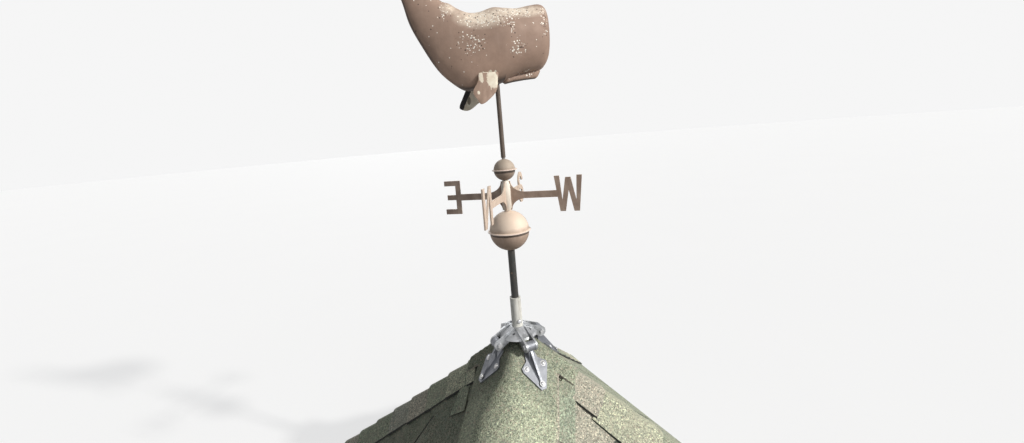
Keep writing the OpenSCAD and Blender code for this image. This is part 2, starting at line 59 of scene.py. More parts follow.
HINGE_OUT, HINGE_Z, FOOT_W, FOOT_SHOULDER, FOOT_T = 0.088, 0.015, 0.096, 0.061, 0.005
HINGE_S = HINGE_OUT * COS + (PEAK_CUT - HINGE_Z) * SIN
SLEEVE_R = 0.020
POLE_TOP, LARGE_R, SMALL_R, HUB_H = 0.344, 0.073, 0.0395, 0.112
SEAM_OUT, SEAM_T, ROD_R = 0.0065, 0.0035, 0.006
LARGE_Z = PEAK + POLE_TOP + LARGE_R
HUB_Z = LARGE_Z + LARGE_R
SMALL_Z = HUB_Z + HUB_H + SMALL_R
BELLY_GAP, FIN_T, SPLAY = 0.272, 0.005, math.radians(18)
BELLY_Z = SMALL_Z + SMALL_R + BELLY_GAP
VANE_TURN = math.radians(-12)

# Camera: where the photographer stood, about the mast
CAM_AZ, CAM_OUT, CAM_UP = math.radians(-115.5), 1.46, 0.772
CAM_PITCH, CAM_ROLL, CAM_YAW = math.radians(3.1), math.radians(-4.75), math.radians(-1.27)
CAM_LENS, CAM_SHIFT_Y = 14.06, -0.065


# ---------------------------------------------------------------- materials

def shader(name):
    m = bpy.data.materials.new(name)
    m.use_nodes = True
    return m, m.node_tree, m.node_tree.nodes["Principled BSDF"]


def put(t, sock, v):
    if isinstance(v, bpy.types.NodeSocket):
        t.links.new(v, sock)
    elif isinstance(v, (tuple, list)) and len(v) == 3 and sock.type == "RGBA":
        sock.default_value = (*v, 1)
    else:
        sock.default_value = v


def node(t, kind, ins=None, **attrs):
    n = t.nodes.new("ShaderNode" + kind)
    for k, v in attrs.items():
        setattr(n, k, v)
    for k, v in (ins or {}).items():
        put(t, n.inputs[k], v)
    return n


def coords(t, scale=(1, 1, 1)):
    c = node(t, "TexCoord").outputs["Object"]
    if tuple(scale) == (1, 1, 1):
        return c
    return node(t, "Mapping", {"Vector": c, "Scale": scale}).outputs[0]


def noise(t, scale, detail=4.0, rough=0.55, at=None, distort=0.0):
    return node(t, "TexNoise", {"Vector": at or coords(t), "Scale": scale, "Detail": detail,
                                "Roughness": rough, "Distortion": distort}).outputs["Fac"]


def cells(t, scale, out="Distance"):
    return node(t, "TexVoronoi", {"Vector": coords(t), "Scale": scale}).outputs[out]


def ramp(t, fac, stops):
    """A colour ramp from (position, colour or grey) stops."""
    r = node(t, "ValToRGB", {"Fac": fac})
    e = r.color_ramp.elements
    while len(e) > 1:
        e.remove(e[-1])
    for k, (p, c) in enumerate(stops):
        c = (c, c, c) if isinstance(c, (int, float)) else c
        el = e[0] if k == 0 else e.new(p)
        el.position = p
        el.color = (*c, 1)
    return r.outputs["Color"]


def mix(t, fac, a, b, blend="MIX"):
    m = node(t, "Mix", data_type="RGBA", blend_type=blend, clamp_factor=True)
    put(t, m.inputs[0], fac)
    put(t, m.inputs[6], a)
    put(t, m.inputs[7], b)
    return m.outputs[2]


def calc(t, op, a, b=0.0, c=0.0):
    m = node(t, "Math", operation=op)
    for k, v in enumerate((a, b, c)):
        put(t, m.inputs[k], v)
    return m.outputs[0]


def bump(t, height, strength, dist, below=None):
    ins = {"Height": height, "Strength": strength, "Distance": dist}
    if below is not None:
        ins["Normal"] = below
    return node(t, "Bump", ins).outputs[0]


def vec(t, op, a, b=None):
    ins = {0: a} if b is None else {0: a, 1: b}
    n = node(t, "VectorMath", ins, operation=op)
    return n.outputs["Value" if op in ("LENGTH", "DISTANCE", "DOT_PRODUCT") else "Vector"]


def whale_frame(t):
    """The whale's own frame: x forward of the mast, z up from the belly."""
    return node(t, "Mapping", {"Vector": coords(t), "Location": (0, 0, -BELLY_Z),
                               "Rotation": (0, 0, -VANE_TURN)}).outputs[0]


def zone(t, at, cx, cz, rx, rz):
    """1 in the middle of an ellipse in x and z, falling to 0 at its edge."""
    d = vec(t, "DISTANCE", vec(t, "MULTIPLY", at, (1 / rx, 0.0, 1 / rz)), (cx / rx, 0.0, cz / rz))
    return calc(t, "MAXIMUM", calc(t, "SUBTRACT", 1.0, d), 0.0)


def axis(t, vector, which):
    return node(t, "SeparateXYZ", {0: vector}).outputs[which]


def facing_up(t):
    return axis(t, node(t, "NewGeometry").outputs["Normal"], 2)


def rays_seen(t):
    """1 for the camera's rays, and for those that a mirror or glass passes on."""
    path = node(t, "LightPath").outputs
    passed_on = calc(t, "MAXIMUM", path["Is Glossy Ray"], path["Is Transmission Ray"])
    return calc(t, "MAXIMUM", path["Is Camera Ray"], passed_on)


GRAIN, CLUMP = 430, 250
ASPHALT, WARM_EDGE = (0.062, 0.064, 0.060), (0.42, 0.37, 0.32)
TAN_GRAIN, DARK_GRAIN, MOSS, DUST = (0.56, 0.45, 0.37), (0.15, 0.19, 0.165), (0.26, 0.29, 0.235), (0.55, 0.51, 0.41)


def granules(name, smooth=False):
    """Mineral granules on asphalt: a tint per tab or cap, single dark and pale grains, and blends of them."""
    m, t, b = shader(name)
    tint = node(t, "Attribute", attribute_name="tint").outputs["Color"]
    fine = node(t, "SeparateColor", {0: cells(t, GRAIN, "Color")})
    clump = node(t, "SeparateColor", {0: cells(t, CLUMP, "Color")})
    c = mix(t, 1.0, tint, ramp(t, fine.outputs[0], [(0, 0.40), (0.3, 0.86), (0.7, 1.12), (1, 1.60)]), "MULTIPLY")
    c = mix(t, 1.0, c, ramp(t, clump.outputs[0], [(0, 0.55), (0.25, 0.9), (0.75, 1.08), (1, 1.50)]), "MULTIPLY")
    c = mix(t, ramp(t, clump.outputs[1], [(0.80, 0.0), (0.95, 0.55)]), c, TAN_GRAIN)
    c = mix(t, ramp(t, clump.outputs[2], [(0.82, 0.0), (0.95, 0.70)]), c, DARK_GRAIN)
    moss, dust = (0.12, 0.14) if smooth else (0.30, 0.30)
    c = mix(t, ramp(t, noise(t, 30, 5, 0.65), [(0.45, 0.0), (0.70, moss)]), c, MOSS)
    c = mix(t, ramp(t, noise(t, 8, 4, 0.6), [(0.45, 0.0), (0.75, dust)]), c, DUST)
    # The cut edges show the asphalt
    c = mix(t, ramp(t, facing_up(t), [(0.20, 1.0), (0.42, 0.0)]), c, WARM_EDGE if smooth else ASPHALT)
    put(t, b.inputs["Base Color"], c)
    put(t, b.inputs["Roughness"], ramp(t, noise(t, 60), [(0.3, 0.82), (0.7, 0.97)]))
    b.inputs["Specular IOR Level"].default_value = 0.25
    n = bump(t, cells(t, GRAIN), 0.6, 0.0013)
    put(t, b.inputs["Normal"], bump(t, noise(t, 24, 3), 0.3 if smooth else 0.4, 0.003, n))
    return m


CREAM, OLD_CREAM, HIGHLIGHT_PALE = (0.84, 0.78, 0.65), (0.72, 0.63, 0.50), (0.92, 0.80, 0.66)
FLECK_PALE, FLECK_DARK = (0.97, 0.93, 0.84), (0.09, 0.06, 0.045)
FLECK_SCALE = 165.0
REAR_SHADE_BLACK, SHADOW_BLACK, STRIP_MARK = (0.035, 0.028, 0.024), (0.028, 0.026, 0.026), (0.27, 0.24, 0.19)


def painted_rear_shade(t, c, down, rim, rim_end):
    """Painted shade: nearly black where the sheet faces down or to the rear; ahead of rim_end hardly at all."""
    forward = (math.cos(VANE_TURN), math.sin(VANE_TURN), 0.0)
    ahead = vec(t, "DOT_PRODUCT", node(t, "TexCoord").outputs["Normal"], forward)
    shaded = calc(t, "MAXIMUM", down, calc(t, "MULTIPLY", ahead, -0.96))
    head = calc(t, "GREATER_THAN", axis(t, whale_frame(t), 0), rim_end)
    shaded = calc(t, "SUBTRACT", shaded, calc(t, "MULTIPLY", head, 0.30))
    return mix(t, ramp(t, shaded, [(0.66, 0.0), (0.84, rim)]), c, REAR_SHADE_BLACK)


def lightened(t, c, lift):
    """Lighter towards the belly, which gets more light in the photograph than on this stage."""
    height = axis(t, whale_frame(t), 2)
    share = ramp(t, calc(t, "MULTIPLY_ADD", height, 3.0, 0.1), [(0.0, 1 + lift), (0.55, 1.0)])
    return mix(t, 1.0, c, share, "MULTIPLY")


def painted_highlights(t, c, at, patches):
    """Painted highlight: pale patches in ellipses (x, z, half length, half height, strength)."""
    for cx, cz, rx, rz, strength in patches:
        grain = calc(t, "MULTIPLY_ADD", noise(t, 70, 4, 0.7), 2.2, -0.35)
        f = calc(t, "MULTIPLY", zone(t, at, cx, cz, rx, rz), grain)
        c = mix(t, calc(t, "MINIMUM", calc(t, "MULTIPLY", f, strength), 0.85), c, HIGHLIGHT_PALE)
    return c


def flecked(t, c, at, clusters):
    """Small pale and dark flecks, dense in the clusters and rare elsewhere."""
    v = node(t, "TexVoronoi", {"Vector": coords(t), "Scale": FLECK_SCALE})
    pick = node(t, "SeparateColor", {0: v.outputs["Color"]})
    near = 0.015
    for q in clusters:
        near = calc(t, "MAXIMUM", zone(t, at, *q), near)
    size = calc(t, "MULTIPLY_ADD", pick.outputs[1], 0.34, 0.16)
    dot = calc(t, "MULTIPLY", calc(t, "LESS_THAN", v.outputs["Distance"], size),
               calc(t, "LESS_THAN", pick.outputs[0], calc(t, "MULTIPLY", near, 1.5)))
    shade = calc(t, "MULTIPLY", calc(t, "GREATER_THAN", pick.outputs[2], 0.74), dot)
    return mix(t, shade, mix(t, dot, c, FLECK_PALE), FLECK_DARK)


def dropping_mask(t, at, patches):
    """1 inside ragged ellipses (x, z, half length, half height)."""
    drip = calc(t, "MULTIPLY_ADD", noise(t, 1, 6, 0.75, coords(t, (120, 120, 60))), 1.7, -0.35)
    worst = 0.0
    for q in patches:
        worst = calc(t, "MAXIMUM", zone(t, at, *q), worst)
    on = ramp(t, calc(t, "SUBTRACT", calc(t, "MULTIPLY_ADD", worst, 1.5, 0.34), drip), [(0.20, 0.0), (0.25, 1.0)])
    return calc(t, "MULTIPLY", on, calc(t, "GREATER_THAN", worst, 0.02))


def painted_shade_strip(t, c, at, strip):
    """Painted shade: black behind the line through (x, z) that is square to (nx, nz), and a small brown mark beside
    it.
    """
    x, z, nx, nz = strip
    far = vec(t, "DOT_PRODUCT", vec(t, "SUBTRACT", at, (x, 0.0, z)), (nx, 0.0, nz))
    ragged = calc(t, "MULTIPLY_ADD", noise(t, 90, 3), 0.008, -0.004)
    c = mix(t, calc(t, "LESS_THAN", far, ragged), c, SHADOW_BLACK)
    return mix(t, calc(t, "GREATER_THAN", zone(t, at, -0.094, -0.047, 0.007, 0.015), 0.05), c, STRIP_MARK)


def copper(name, base, dark, pale, metal=0.25, under=0.0, top=0.0, flecks=(), highlight_patches=(), droppings=(), rim=0.0,
           rim_end=1.0, bands=(), strip=None, lift=0.0):
    """Brown weathered sheet copper: patches, streaks and dents, painted shade below and painted light on top, with
    level bands (z, half width, colour, share), a rim of painted shade, painted highlights, flecks, bird droppings
    and a strip of painted shade."""
    m, t, b = shader(name)
    low, high = (tuple(k * x for x in base) for k in (0.86, 1.1))
    c = ramp(t, noise(t, 6, 6, 0.6, distort=0.5), [(0.30, low), (0.5, base), (0.72, high)])
    c = mix(t, ramp(t, noise(t, 34, 6, 0.7), [(0.42, 0.0), (0.82, 0.35)]), c, dark)
    c = mix(t, ramp(t, noise(t, 1, 5, 0.6, coords(t, (70, 70, 9))), [(0.52, 0.0), (0.80, 0.22)]), c, pale)
    up = facing_up(t)
    rough_up = calc(t, "ADD", up, calc(t, "MULTIPLY", noise(t, 26, 4), 0.3))
    # Painted light: paler where the surface faces up
    c = mix(t, ramp(t, rough_up, [(0.12, 0.0), (0.42, top)]), c, pale)
    # Painted shade: darker where the surface faces down
    down = calc(t, "MULTIPLY", up, -1.0)
    c = mix(t, ramp(t, down, [(0.10, 0.0), (0.80, under)]), c, dark)
    for z, half, colour, share in bands:
        height = axis(t, coords(t), 2)
        c = mix(t, calc(t, "MULTIPLY", calc(t, "COMPARE", height, z, half), share), c, colour)
    if rim:
        c = painted_rear_shade(t, c, down, rim, rim_end)
    if lift:
        c = lightened(t, c, lift)
    rough = ramp(t, noise(t, 22, 5), [(0.3, 0.58), (0.75, 0.80)])
    at = whale_frame(t) if flecks or highlight_patches or droppings else None
    c = painted_highlights(t, c, at, highlight_patches)
    if flecks:
        c = flecked(t, c, at, flecks)
    if droppings:
        on = dropping_mask(t, at, droppings)
        c = mix(t, on, c, mix(t, ramp(t, noise(t, 45, 4), [(0.35, 0.0), (0.7, 1.0)]), CREAM, OLD_CREAM))
        rough = mix(t, on, rough, (0.92, 0.92, 0.92))
        put(t, b.inputs["Metallic"], ramp(t, on, [(0.0, metal), (1.0, 0.0)]))
    else:
        b.inputs["Metallic"].default_value = metal
    if strip:
        c = painted_shade_strip(t, c, at, strip)
    put(t, b.inputs["Base Color"], c)
    put(t, b.inputs["Roughness"], rough)
    n = bump(t, noise(t, 30, 3), 0.25, 0.004)
    put(t, b.inputs["Normal"], bump(t, noise(t, 260, 3), 0.22, 0.0006, n))
    return m


def cast_metal(name, base, grime, rough0=0.32, metal=0.75):
    m, t, b = shader(name)
    c = ramp(t, noise(t, 45, 5, 0.6), [(0.3, tuple(0.78 * x for x in base)), (0.7, base)])
    c = mix(t, ramp(t, noise(t, 16, 5, 0.65), [(0.50, 0.0), (0.72, 0.65)]), c, grime)
    put(t, b.inputs["Base Color"], c)
    put(t, b.inputs["Roughness"], ramp(t, noise(t, 80, 4), [(0.3, rough0), (0.7, rough0 + 0.25)]))
    b.inputs["Metallic"].default_value = metal
    n = bump(t, noise(t, 420, 3, 0.6), 0.35, 0.0005)
    put(t, b.inputs["Normal"], bump(t, noise(t, 40, 3), 0.2, 0.002, n))
    return m


def saddle_metal():
    """The cast saddle with the off-white sleeve that stands in it."""
    m, t, b = shader("cast_saddle_and_sleeve")
    on = calc(t, "LESS_THAN", vec(t, "LENGTH", vec(t, "MULTIPLY", coords(t), (1.0, 1.0, 0.0))), SLEEVE_R + 0.0009)
    cast = ramp(t, noise(t, 45, 5, 0.6), [(0.3, (0.34, 0.35, 0.36)), (0.7, (0.56, 0.57, 0.59))])
    cast = mix(t, ramp(t, noise(t, 19, 5, 0.65), [(0.46, 0.0), (0.66, 0.72)]), cast, (0.17, 0.18, 0.18))
    pale = ramp(t, noise(t, 14, 5), [(0.3, (0.68, 0.67, 0.62)), (0.7, (0.82, 0.81, 0.76))])
    runs = noise(t, 1, 5, 0.65, coords(t, (85, 85, 9)))
    pale = mix(t, ramp(t, runs, [(0.50, 0.0), (0.72, 0.6)]), pale, (0.27, 0.25, 0.21))
    pale = mix(t, ramp(t, noise(t, 60, 4, 0.7), [(0.56, 0.0), (0.72, 0.5)]), pale, (0.38, 0.36, 0.31))
    put(t, b.inputs["Base Color"], mix(t, on, cast, pale))
    rough = ramp(t, noise(t, 80, 4), [(0.3, 0.30), (0.7, 0.55)])
    put(t, b.inputs["Roughness"], mix(t, on, rough, (0.55, 0.55, 0.55)))
    put(t, b.inputs["Metallic"], calc(t, "MULTIPLY_ADD", on, -0.8, 0.8))
    n = bump(t, noise(t, 420, 3, 0.6), 0.35, 0.0005)
    put(t, b.inputs["Normal"], bump(t, noise(t, 40, 3), 0.2, 0.002, n))
    return m


def coat(name, base, dirt, amount=0.6, rough0=0.45, chips=None):
    """Paint or a dull coat, with rubbed-in dirt and a fine orange peel."""
    m, t, b = shader(name)
    c = ramp(t, noise(t, 12, 5), [(0.3, tuple(0.86 * x for x in base)), (0.7, base)])
    c = mix(t, ramp(t, noise(t, 30, 6, 0.68), [(0.48, 0.0), (0.75, amount)]), c, dirt)
    c = mix(t, ramp(t, noise(t, 1, 4, 0.6, coords(t, (60, 60, 6))), [(0.52, 0.0), (0.8, amount * 0.7)]), c, dirt)
    if chips:
        c = mix(t, ramp(t, noise(t, 70, 3, 0.6), [(0.66, 0.0), (0.69, 1.0)]), c, chips)
    put(t, b.inputs["Base Color"], c)
    put(t, b.inputs["Roughness"], ramp(t, noise(t, 50), [(0.3, rough0), (0.75, rough0 + 0.3)]))
    put(t, b.inputs["Normal"], bump(t, noise(t, 180, 4), 0.3, 0.0006))
    return m


def wood(name, along, pale, dark):
    m, t, b = shader(name)
    s = {0: (1.6, 26, 26), 1: (26, 1.6, 26), 2: (26, 26, 1.6)}[along]
    g = noise(t, 1, 6, 0.6, coords(t, s), 1.4)
    c = ramp(t, g, [(0.3, dark), (0.48, pale), (0.6, tuple(0.9 * x for x in pale)), (0.75, dark)])
    c = mix(t, ramp(t, noise(t, 5, 4), [(0.45, 0.0), (0.8, 0.35)]), c, dark)
    put(t, b.inputs["Base Color"], c)
    put(t, b.inputs["Roughness"], ramp(t, g, [(0.3, 0.62), (0.7, 0.8)]))
    put(t, b.inputs["Normal"], bump(t, g, 0.25, 0.001))
    return m


SHINGLE = granules("shingle_granules")
SMOOTH = granules("smooth_cap_granules", True)
# On the whale: (x, z, half length, half height) in its own frame, and for the painted highlights their strength
FLECKS = ((-0.090, 0.138, 0.062, 0.050), (0.066, 0.114, 0.036, 0.036), (0.050, 0.186, 0.016, 0.050),
          (0.172, 0.205, 0.022, 0.075), (-0.172, 0.248, 0.030, 0.040), (-0.030, 0.215, 0.115, 0.042),
          (0.080, 0.240, 0.085, 0.026), (0.110, 0.034, 0.050, 0.010))
HIGHLIGHT_PATCHES = ((-0.050, 0.226, 0.105, 0.050, 1.6), (0.085, 0.246, 0.120, 0.034, 1.4),
         (-0.150, 0.262, 0.040, 0.030, 0.9))
ROOT_DROPS = ((-0.016, 0.034, 0.006, 0.009), (-0.035, 0.034, 0.008, 0.010), (-0.060, 0.033, 0.008, 0.006))
NEAR_DROPS = ((-0.031, 0.008, 0.027, 0.044), (-0.050, 0.042, 0.030, 0.013), (-0.070, 0.022, 0.010, 0.030),
              (-0.086, -0.036, 0.006, 0.009))
FAR_DROPS = ((-0.090, -0.052, 0.070, 0.070),)
WEAR_AND_LIGHT_PALE, FIN_PALE = (0.46, 0.34, 0.27), (0.60, 0.45, 0.36)
WHALE_M = copper("whale_copper_weathered", (0.345, 0.233, 0.177), (0.17, 0.113, 0.086), WEAR_AND_LIGHT_PALE, 0.15, under=0.25,
                 top=0.2, flecks=FLECKS, highlight_patches=HIGHLIGHT_PATCHES, rim=0.85, rim_end=0.024, lift=0.55, droppings=ROOT_DROPS)
FIN_M = copper("fin_copper_weathered", (0.43, 0.295, 0.225), (0.20, 0.135, 0.10), FIN_PALE, under=0.5)
JAW_M = copper("jaw_copper_weathered", (0.35, 0.24, 0.183), (0.19, 0.125, 0.095), WEAR_AND_LIGHT_PALE, 0.15, under=0.1,
               rim=0.85, flecks=((0.120, 0.028, 0.035, 0.010),))
NEAR_M = copper("flipper_copper_near", (0.33, 0.225, 0.170), (0.20, 0.14, 0.10), WEAR_AND_LIGHT_PALE, 0.15, under=0.4,
                rim=0.6, droppings=NEAR_DROPS)
FAR_M = copper("flipper_copper_far", (0.40, 0.28, 0.215), (0.16, 0.11, 0.085), FIN_PALE, under=0.4, rim=0.95,
               droppings=FAR_DROPS, strip=(-0.090, -0.021, 0.904, -0.427))
MAST_DARK, MAST_PALE = (0.22, 0.155, 0.12), (0.84, 0.69, 0.56)
# Each globe has a painted shadow line under its seam and a painted highlight on it
SEAM_PAINTED_SHADOW, SEAM_PAINTED_HIGHLIGHT = (0.050, 0.038, 0.032), (0.95, 0.80, 0.71)
SEAMS = [band for z in (LARGE_Z, SMALL_Z)
         for band in ((z - 0.0066, 0.0038, SEAM_PAINTED_SHADOW, 0.85), (z, 0.0022, SEAM_PAINTED_HIGHLIGHT, 0.75))]
GLOBE_M = copper("globe_copper_weathered", (0.44, 0.32, 0.25), MAST_DARK, MAST_PALE, 0.15, under=0.6, top=0.9,
                 bands=SEAMS)
SMALL_M = copper("small_globe_copper", (0.36, 0.275, 0.215), MAST_DARK, (0.50, 0.42, 0.34), 0.15, under=0.7,
                 top=0.8, bands=SEAMS)
MAST_M = copper("mast_copper_weathered", (0.42, 0.30, 0.235), MAST_DARK, MAST_PALE, 0.15, under=0.6, top=0.8)
# The north and south arms get a paler copy of the copper as painted light, the east arm a darker one as painted
# shade
COMPASS_PAINTED_LIT_M = copper("compass_copper_painted_lit", (0.62, 0.49, 0.395), (0.36, 0.25, 0.20), MAST_PALE, 0.10, under=0.6,
                 top=0.8)
COMPASS_PAINTED_SHADE_M = copper("compass_copper_painted_shade", (0.27, 0.20, 0.165), (0.12, 0.09, 0.08), MAST_PALE, 0.22, under=0.6, top=0.8)
HUB_M = copper("hub_pale_patina", (0.82, 0.75, 0.65), (0.42, 0.34, 0.28), (0.95, 0.92, 0.84), 0.08, under=0.5,
               top=0.3)
TUBE_M = copper("tube_copper_dark", (0.13, 0.10, 0.08), (0.06, 0.05, 0.04), (0.42, 0.35, 0.29))
# The cast aluminium's bluish base colour is a painted reflection of the sky
CAST_M = cast_metal("cast_aluminium", (0.285, 0.295, 0.322), (0.09, 0.095, 0.103), 0.36, 0.65)
BOLT_M = cast_metal("zinc_steel", (0.66, 0.66, 0.67), (0.2, 0.19, 0.17), 0.22, 0.85)
SADDLE_M = saddle_metal()
POLE_M = coat("dark_pole_coat", (0.028, 0.029, 0.028), (0.07, 0.055, 0.042), 0.6, 0.38, (0.20, 0.13, 0.08))
ROD_M = cast_metal("dull_rod", (0.30, 0.28, 0.26), (0.10, 0.08, 0.07), 0.4, 0.7)
TRIM_M = coat("trim_white_paint", (0.78, 0.775, 0.74), (0.42, 0.41, 0.36), 0.4, 0.5)
TIMBER_X = wood("timber_along_x", 0, (0.62, 0.47, 0.30), (0.40, 0.27, 0.15))
TIMBER_Y = wood("timber_along_y", 1, (0.62, 0.47, 0.30), (0.40, 0.27, 0.15))
TIMBER_Z = wood("timber_upright", 2, (0.60, 0.45, 0.29), (0.38, 0.26, 0.15))


# ---------------------------------------------------------------- meshes

def piece(name, verts, faces, mat, body, hides=(), sharp=35, tint=None):
    """A new piece that rides on a body, in place of the nodes that it hides; edges above sharp degrees stay hard."""
    me = bpy.data.meshes.new(name)
    me.from_pydata([tuple(map(float, v)) for v in verts], [], [tuple(int(k) for k in f) for f in faces])
    if tint is not None:
        a = me.attributes.new("tint", "FLOAT_COLOR", "POINT")
        a.data.foreach_set("color", np.column_stack([tint, np.ones(len(tint))]).astype(np.float32).ravel())
    bm = bmesh.new()
    bm.from_mesh(me)
    bmesh.ops.recalc_face_normals(bm, faces=bm.faces)
    bm.to_mesh(me)
    bm.free()
    me.shade_smooth()
    me.set_sharp_from_angle(angle=math.radians(sharp))
    me.materials.append(mat)
    ob = bpy.data.objects.new(name, me)
    bpy.context.scene.collection.objects.link(ob)
    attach(ob, body)
    if hides:
        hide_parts(*hides)
    return ob


class Pile:
    """Collects closed meshes that become one piece."""

    def __init__(self):
        self.v, self.f, self.t, self.n = [], [], [], 0

    def add(self, verts, faces, tint=None):
        verts = np.asarray(verts, float)
        self.v.append(verts)
        self.f += [tuple(k + self.n for k in f) for f in faces]
        self.t.append(np.tile(tint if tint is not None else (1, 1, 1), (len(verts), 1)))
        self.n += len(verts)

    def done(self, name, mat, body, hides=(), sharp=35):
        return piece(name, np.vstack(self.v), self.f, mat, body, hides, sharp, np.vstack(self.t))


def shell(top, bottom):
    """A closed slab from two grids of points of the same shape."""
    r, c = top.shape[:2]
    v = np.vstack([top.reshape(-1, 3), bottom.reshape(-1, 3)])
    n = r * c
    f = []
    for i in range(r - 1):
        for j in range(c - 1):
            a = i * c + j
            f.append((a, a + 1, a + c + 1, a + c))
            f.append((n + a, n + a + c, n + a + c + 1, n + a + 1))
    rim = list(range(c)) + [i * c + c - 1 for i in range(1, r)]
    rim += [(r - 1) * c + j for j in range(c - 2, -1, -1)] + [i * c for i in range(r - 2, 0, -1)]
    for k, a in enumerate(rim):
        b = rim[(k + 1) % len(rim)]
        f.append((a, n + a, n + b, b))
    return v, f


def lathe(profile, sides=64, at=(0, 0, 0)):
    """A closed ring or solid of revolution about z from (r, z) points, given in order round its section."""
    p = np.asarray(profile, float)
    a = np.linspace(0, 2 * math.pi, sides, endpoint=False)
    v = np.stack([np.outer(np.cos(a), p[:, 0]), np.outer(np.sin(a), p[:, 0]), np.tile(p[:, 1], (sides, 1))], 2)
    m = len(p)
    f = []
    for i in range(sides):
        for j in range(m):
            k, i2 = (j + 1) % m, (i + 1) % sides
            f.append((i * m + j, i2 * m + j, i2 * m + k, i * m + k))
    return v.reshape(-1, 3) + np.asarray(at), f


def tube_loft(rings):
    """A closed solid through rings of equally many points, with a face at each end."""
    r = np.asarray(rings)
    n, m = r.shape[:2]
    f = []
    for i in range(n - 1):
        for j in range(m):
            k = (j + 1) % m
            f.append((i * m + j, i * m + k, (i + 1) * m + k, (i + 1) * m + j))
    f.append(tuple(range(m - 1, -1, -1)))
    f.append(tuple((n - 1) * m + j for j in range(m)))
    return r.reshape(-1, 3), f


def fill(outline, step):
    """Triangles inside a plan outline, with inner points at about this step."""
    o = np.asarray(outline, float)
    lo, hi = o.min(0), o.max(0)
    xs = np.arange(lo[0] + step / 2, hi[0], step)
    ys = np.arange(lo[1] + step / 2, hi[1], step)
    inner = []
    for q, y in enumerate(ys):
        for x in xs + (step / 2 if q % 2 else 0):
            if inside(o, x, y) and edge_dist(o, np.array([[x, y]]))[0] > step * 0.45:
                inner.append((x, y))
    pts = [Vector(p) for p in o] + [Vector(p) for p in inner]
    v, _, f, *_ = delaunay_2d_cdt(pts, [], [list(range(len(o)))], 1, 1e-7)
    return np.array([tuple(p) for p in v]), [tuple(t) for t in f]


def inside(o, x, y):
    """Whether a point lies inside the outline, by counting crossings."""
    x0, y0 = o[:, 0], o[:, 1]
    x1, y1 = np.roll(x0, -1), np.roll(y0, -1)
    cross = (y0 > y) != (y1 > y)
    with np.errstate(divide="ignore", invalid="ignore"):
        xi = x0 + (y - y0) * (x1 - x0) / (y1 - y0)
    return bool(np.count_nonzero(cross & (x < xi)) % 2)


def edge_dist(o, p):
    """How far each point is from the outline."""
    a, b = o, np.roll(o, -1, 0)
    d = b - a
    best = np.full(len(p), 1e9)
    for k in range(len(o)):
        l2 = max(float(d[k] @ d[k]), 1e-16)
        t = np.clip(((p - a[k]) @ d[k]) / l2, 0, 1)
        q = a[k] + t[:, None] * d[k]
        best = np.minimum(best, np.linalg.norm(p - q, axis=1))
    return best


def spline(points, per=6, closed=True):
    """A Catmull-Rom curve through the points, with this many steps from each to the next."""
    p = np.asarray(points, float)
    n = len(p)
    out = []
    for i in range(n if closed else n - 1):
        near = [(i + k) % n if closed else min(max(i + k, 0), n - 1) for k in (-1, 0, 1, 2)]
        a, b, c, d = p[near]
        for t in np.arange(per) / per:
            out.append(0.5 * (2 * b + (c - a) * t + (2 * a - 5 * b + 4 * c - d) * t**2 +
                              (3 * b - a - 3 * c + d) * t**3))
    if not closed:
        out.append(p[-1])
    return np.array(out)


def plate_faces(tri, n):
    """Faces of a plate whose upper points are the first n and whose lower points are the next n."""
    edges = {e: True for t in tri for e in ((t[0], t[1]), (t[1], t[2]), (t[2], t[0]))}
    f = list(tri) + [(n + c, n + b, n + a) for a, b, c in tri]
    return f + [(a, n + a, n + b, b) for a, b in edges if (b, a) not in edges]


def leaf(outline, step, half_t, edge, camber=None):
    """A thin plate, full in its middle and rounded off at its edge, in its own x, y, z."""
    p, tri = fill(outline, step)
    d = edge_dist(np.asarray(outline), p)
    h = half_t * np.sqrt(np.clip(1 - (1 - np.clip(d / edge, 0, 1)) ** 2, 0.03, 1))
    base = camber(p) if camber else np.zeros(len(p))
    v = np.vstack([np.column_stack([p, base + h]), np.column_stack([p, base - h])])
    return v, plate_faces(tri, len(p))


def turned(v, deg_z):
    c, s = math.cos(math.radians(deg_z)), math.sin(math.radians(deg_z))
    v = np.asarray(v)
    return np.column_stack([v[:, 0] * c - v[:, 1] * s, v[:, 0] * s + v[:, 1] * c, v[:, 2]])


def on_plane(x, y, n, i=0):
    """Points on roof plane i: x along the eave, y up the slope, n above the deck's underside."""
    x, y, n = np.broadcast_arrays(np.asarray(x, float), np.asarray(y, float), np.asarray(n, float))
    v = np.stack([x, (y - PLANE) * COS - n * SIN, APEX + (y - PLANE) * SIN + n * COS], -1)
    return turned(v.reshape(-1, 3), 90 * i).reshape(v.shape)


# ---------------------------------------------------------------- shingles

ROOT2 = math.sqrt(2)
SLOT_W, TAB_W, TAB_T = 0.0085, 0.305, 0.0036
# How far below the peak the tabs end, the sheet's colour in the slots, which is painted shade, and how much darker
# the left plane is as painted shade
TABS_END, SLOT_PAINTED_SHADE, LEFT_PAINTED_SHADE = 0.075, (0.10, 0.11, 0.10), 0.62
GREEN, TAN, GREY, DARK = (0.35, 0.387, 0.283), (0.555, 0.518, 0.422), (0.45, 0.455, 0.383), (0.255, 0.288, 0.245)
SAGE, PALE = (0.405, 0.44, 0.323), (0.57, 0.58, 0.432)
FACES = ("front", "right", "back", "left")


def blend_tint(a, b, k):
    return tuple(x * (1 - k) + y * k for x, y in zip(a, b))


def tab_tint():
    return np.array(blend_tint(GREEN, (TAN, GREY, DARK, GREEN)[rng.integers(4)], rng.uniform(0.1, 0.55)))


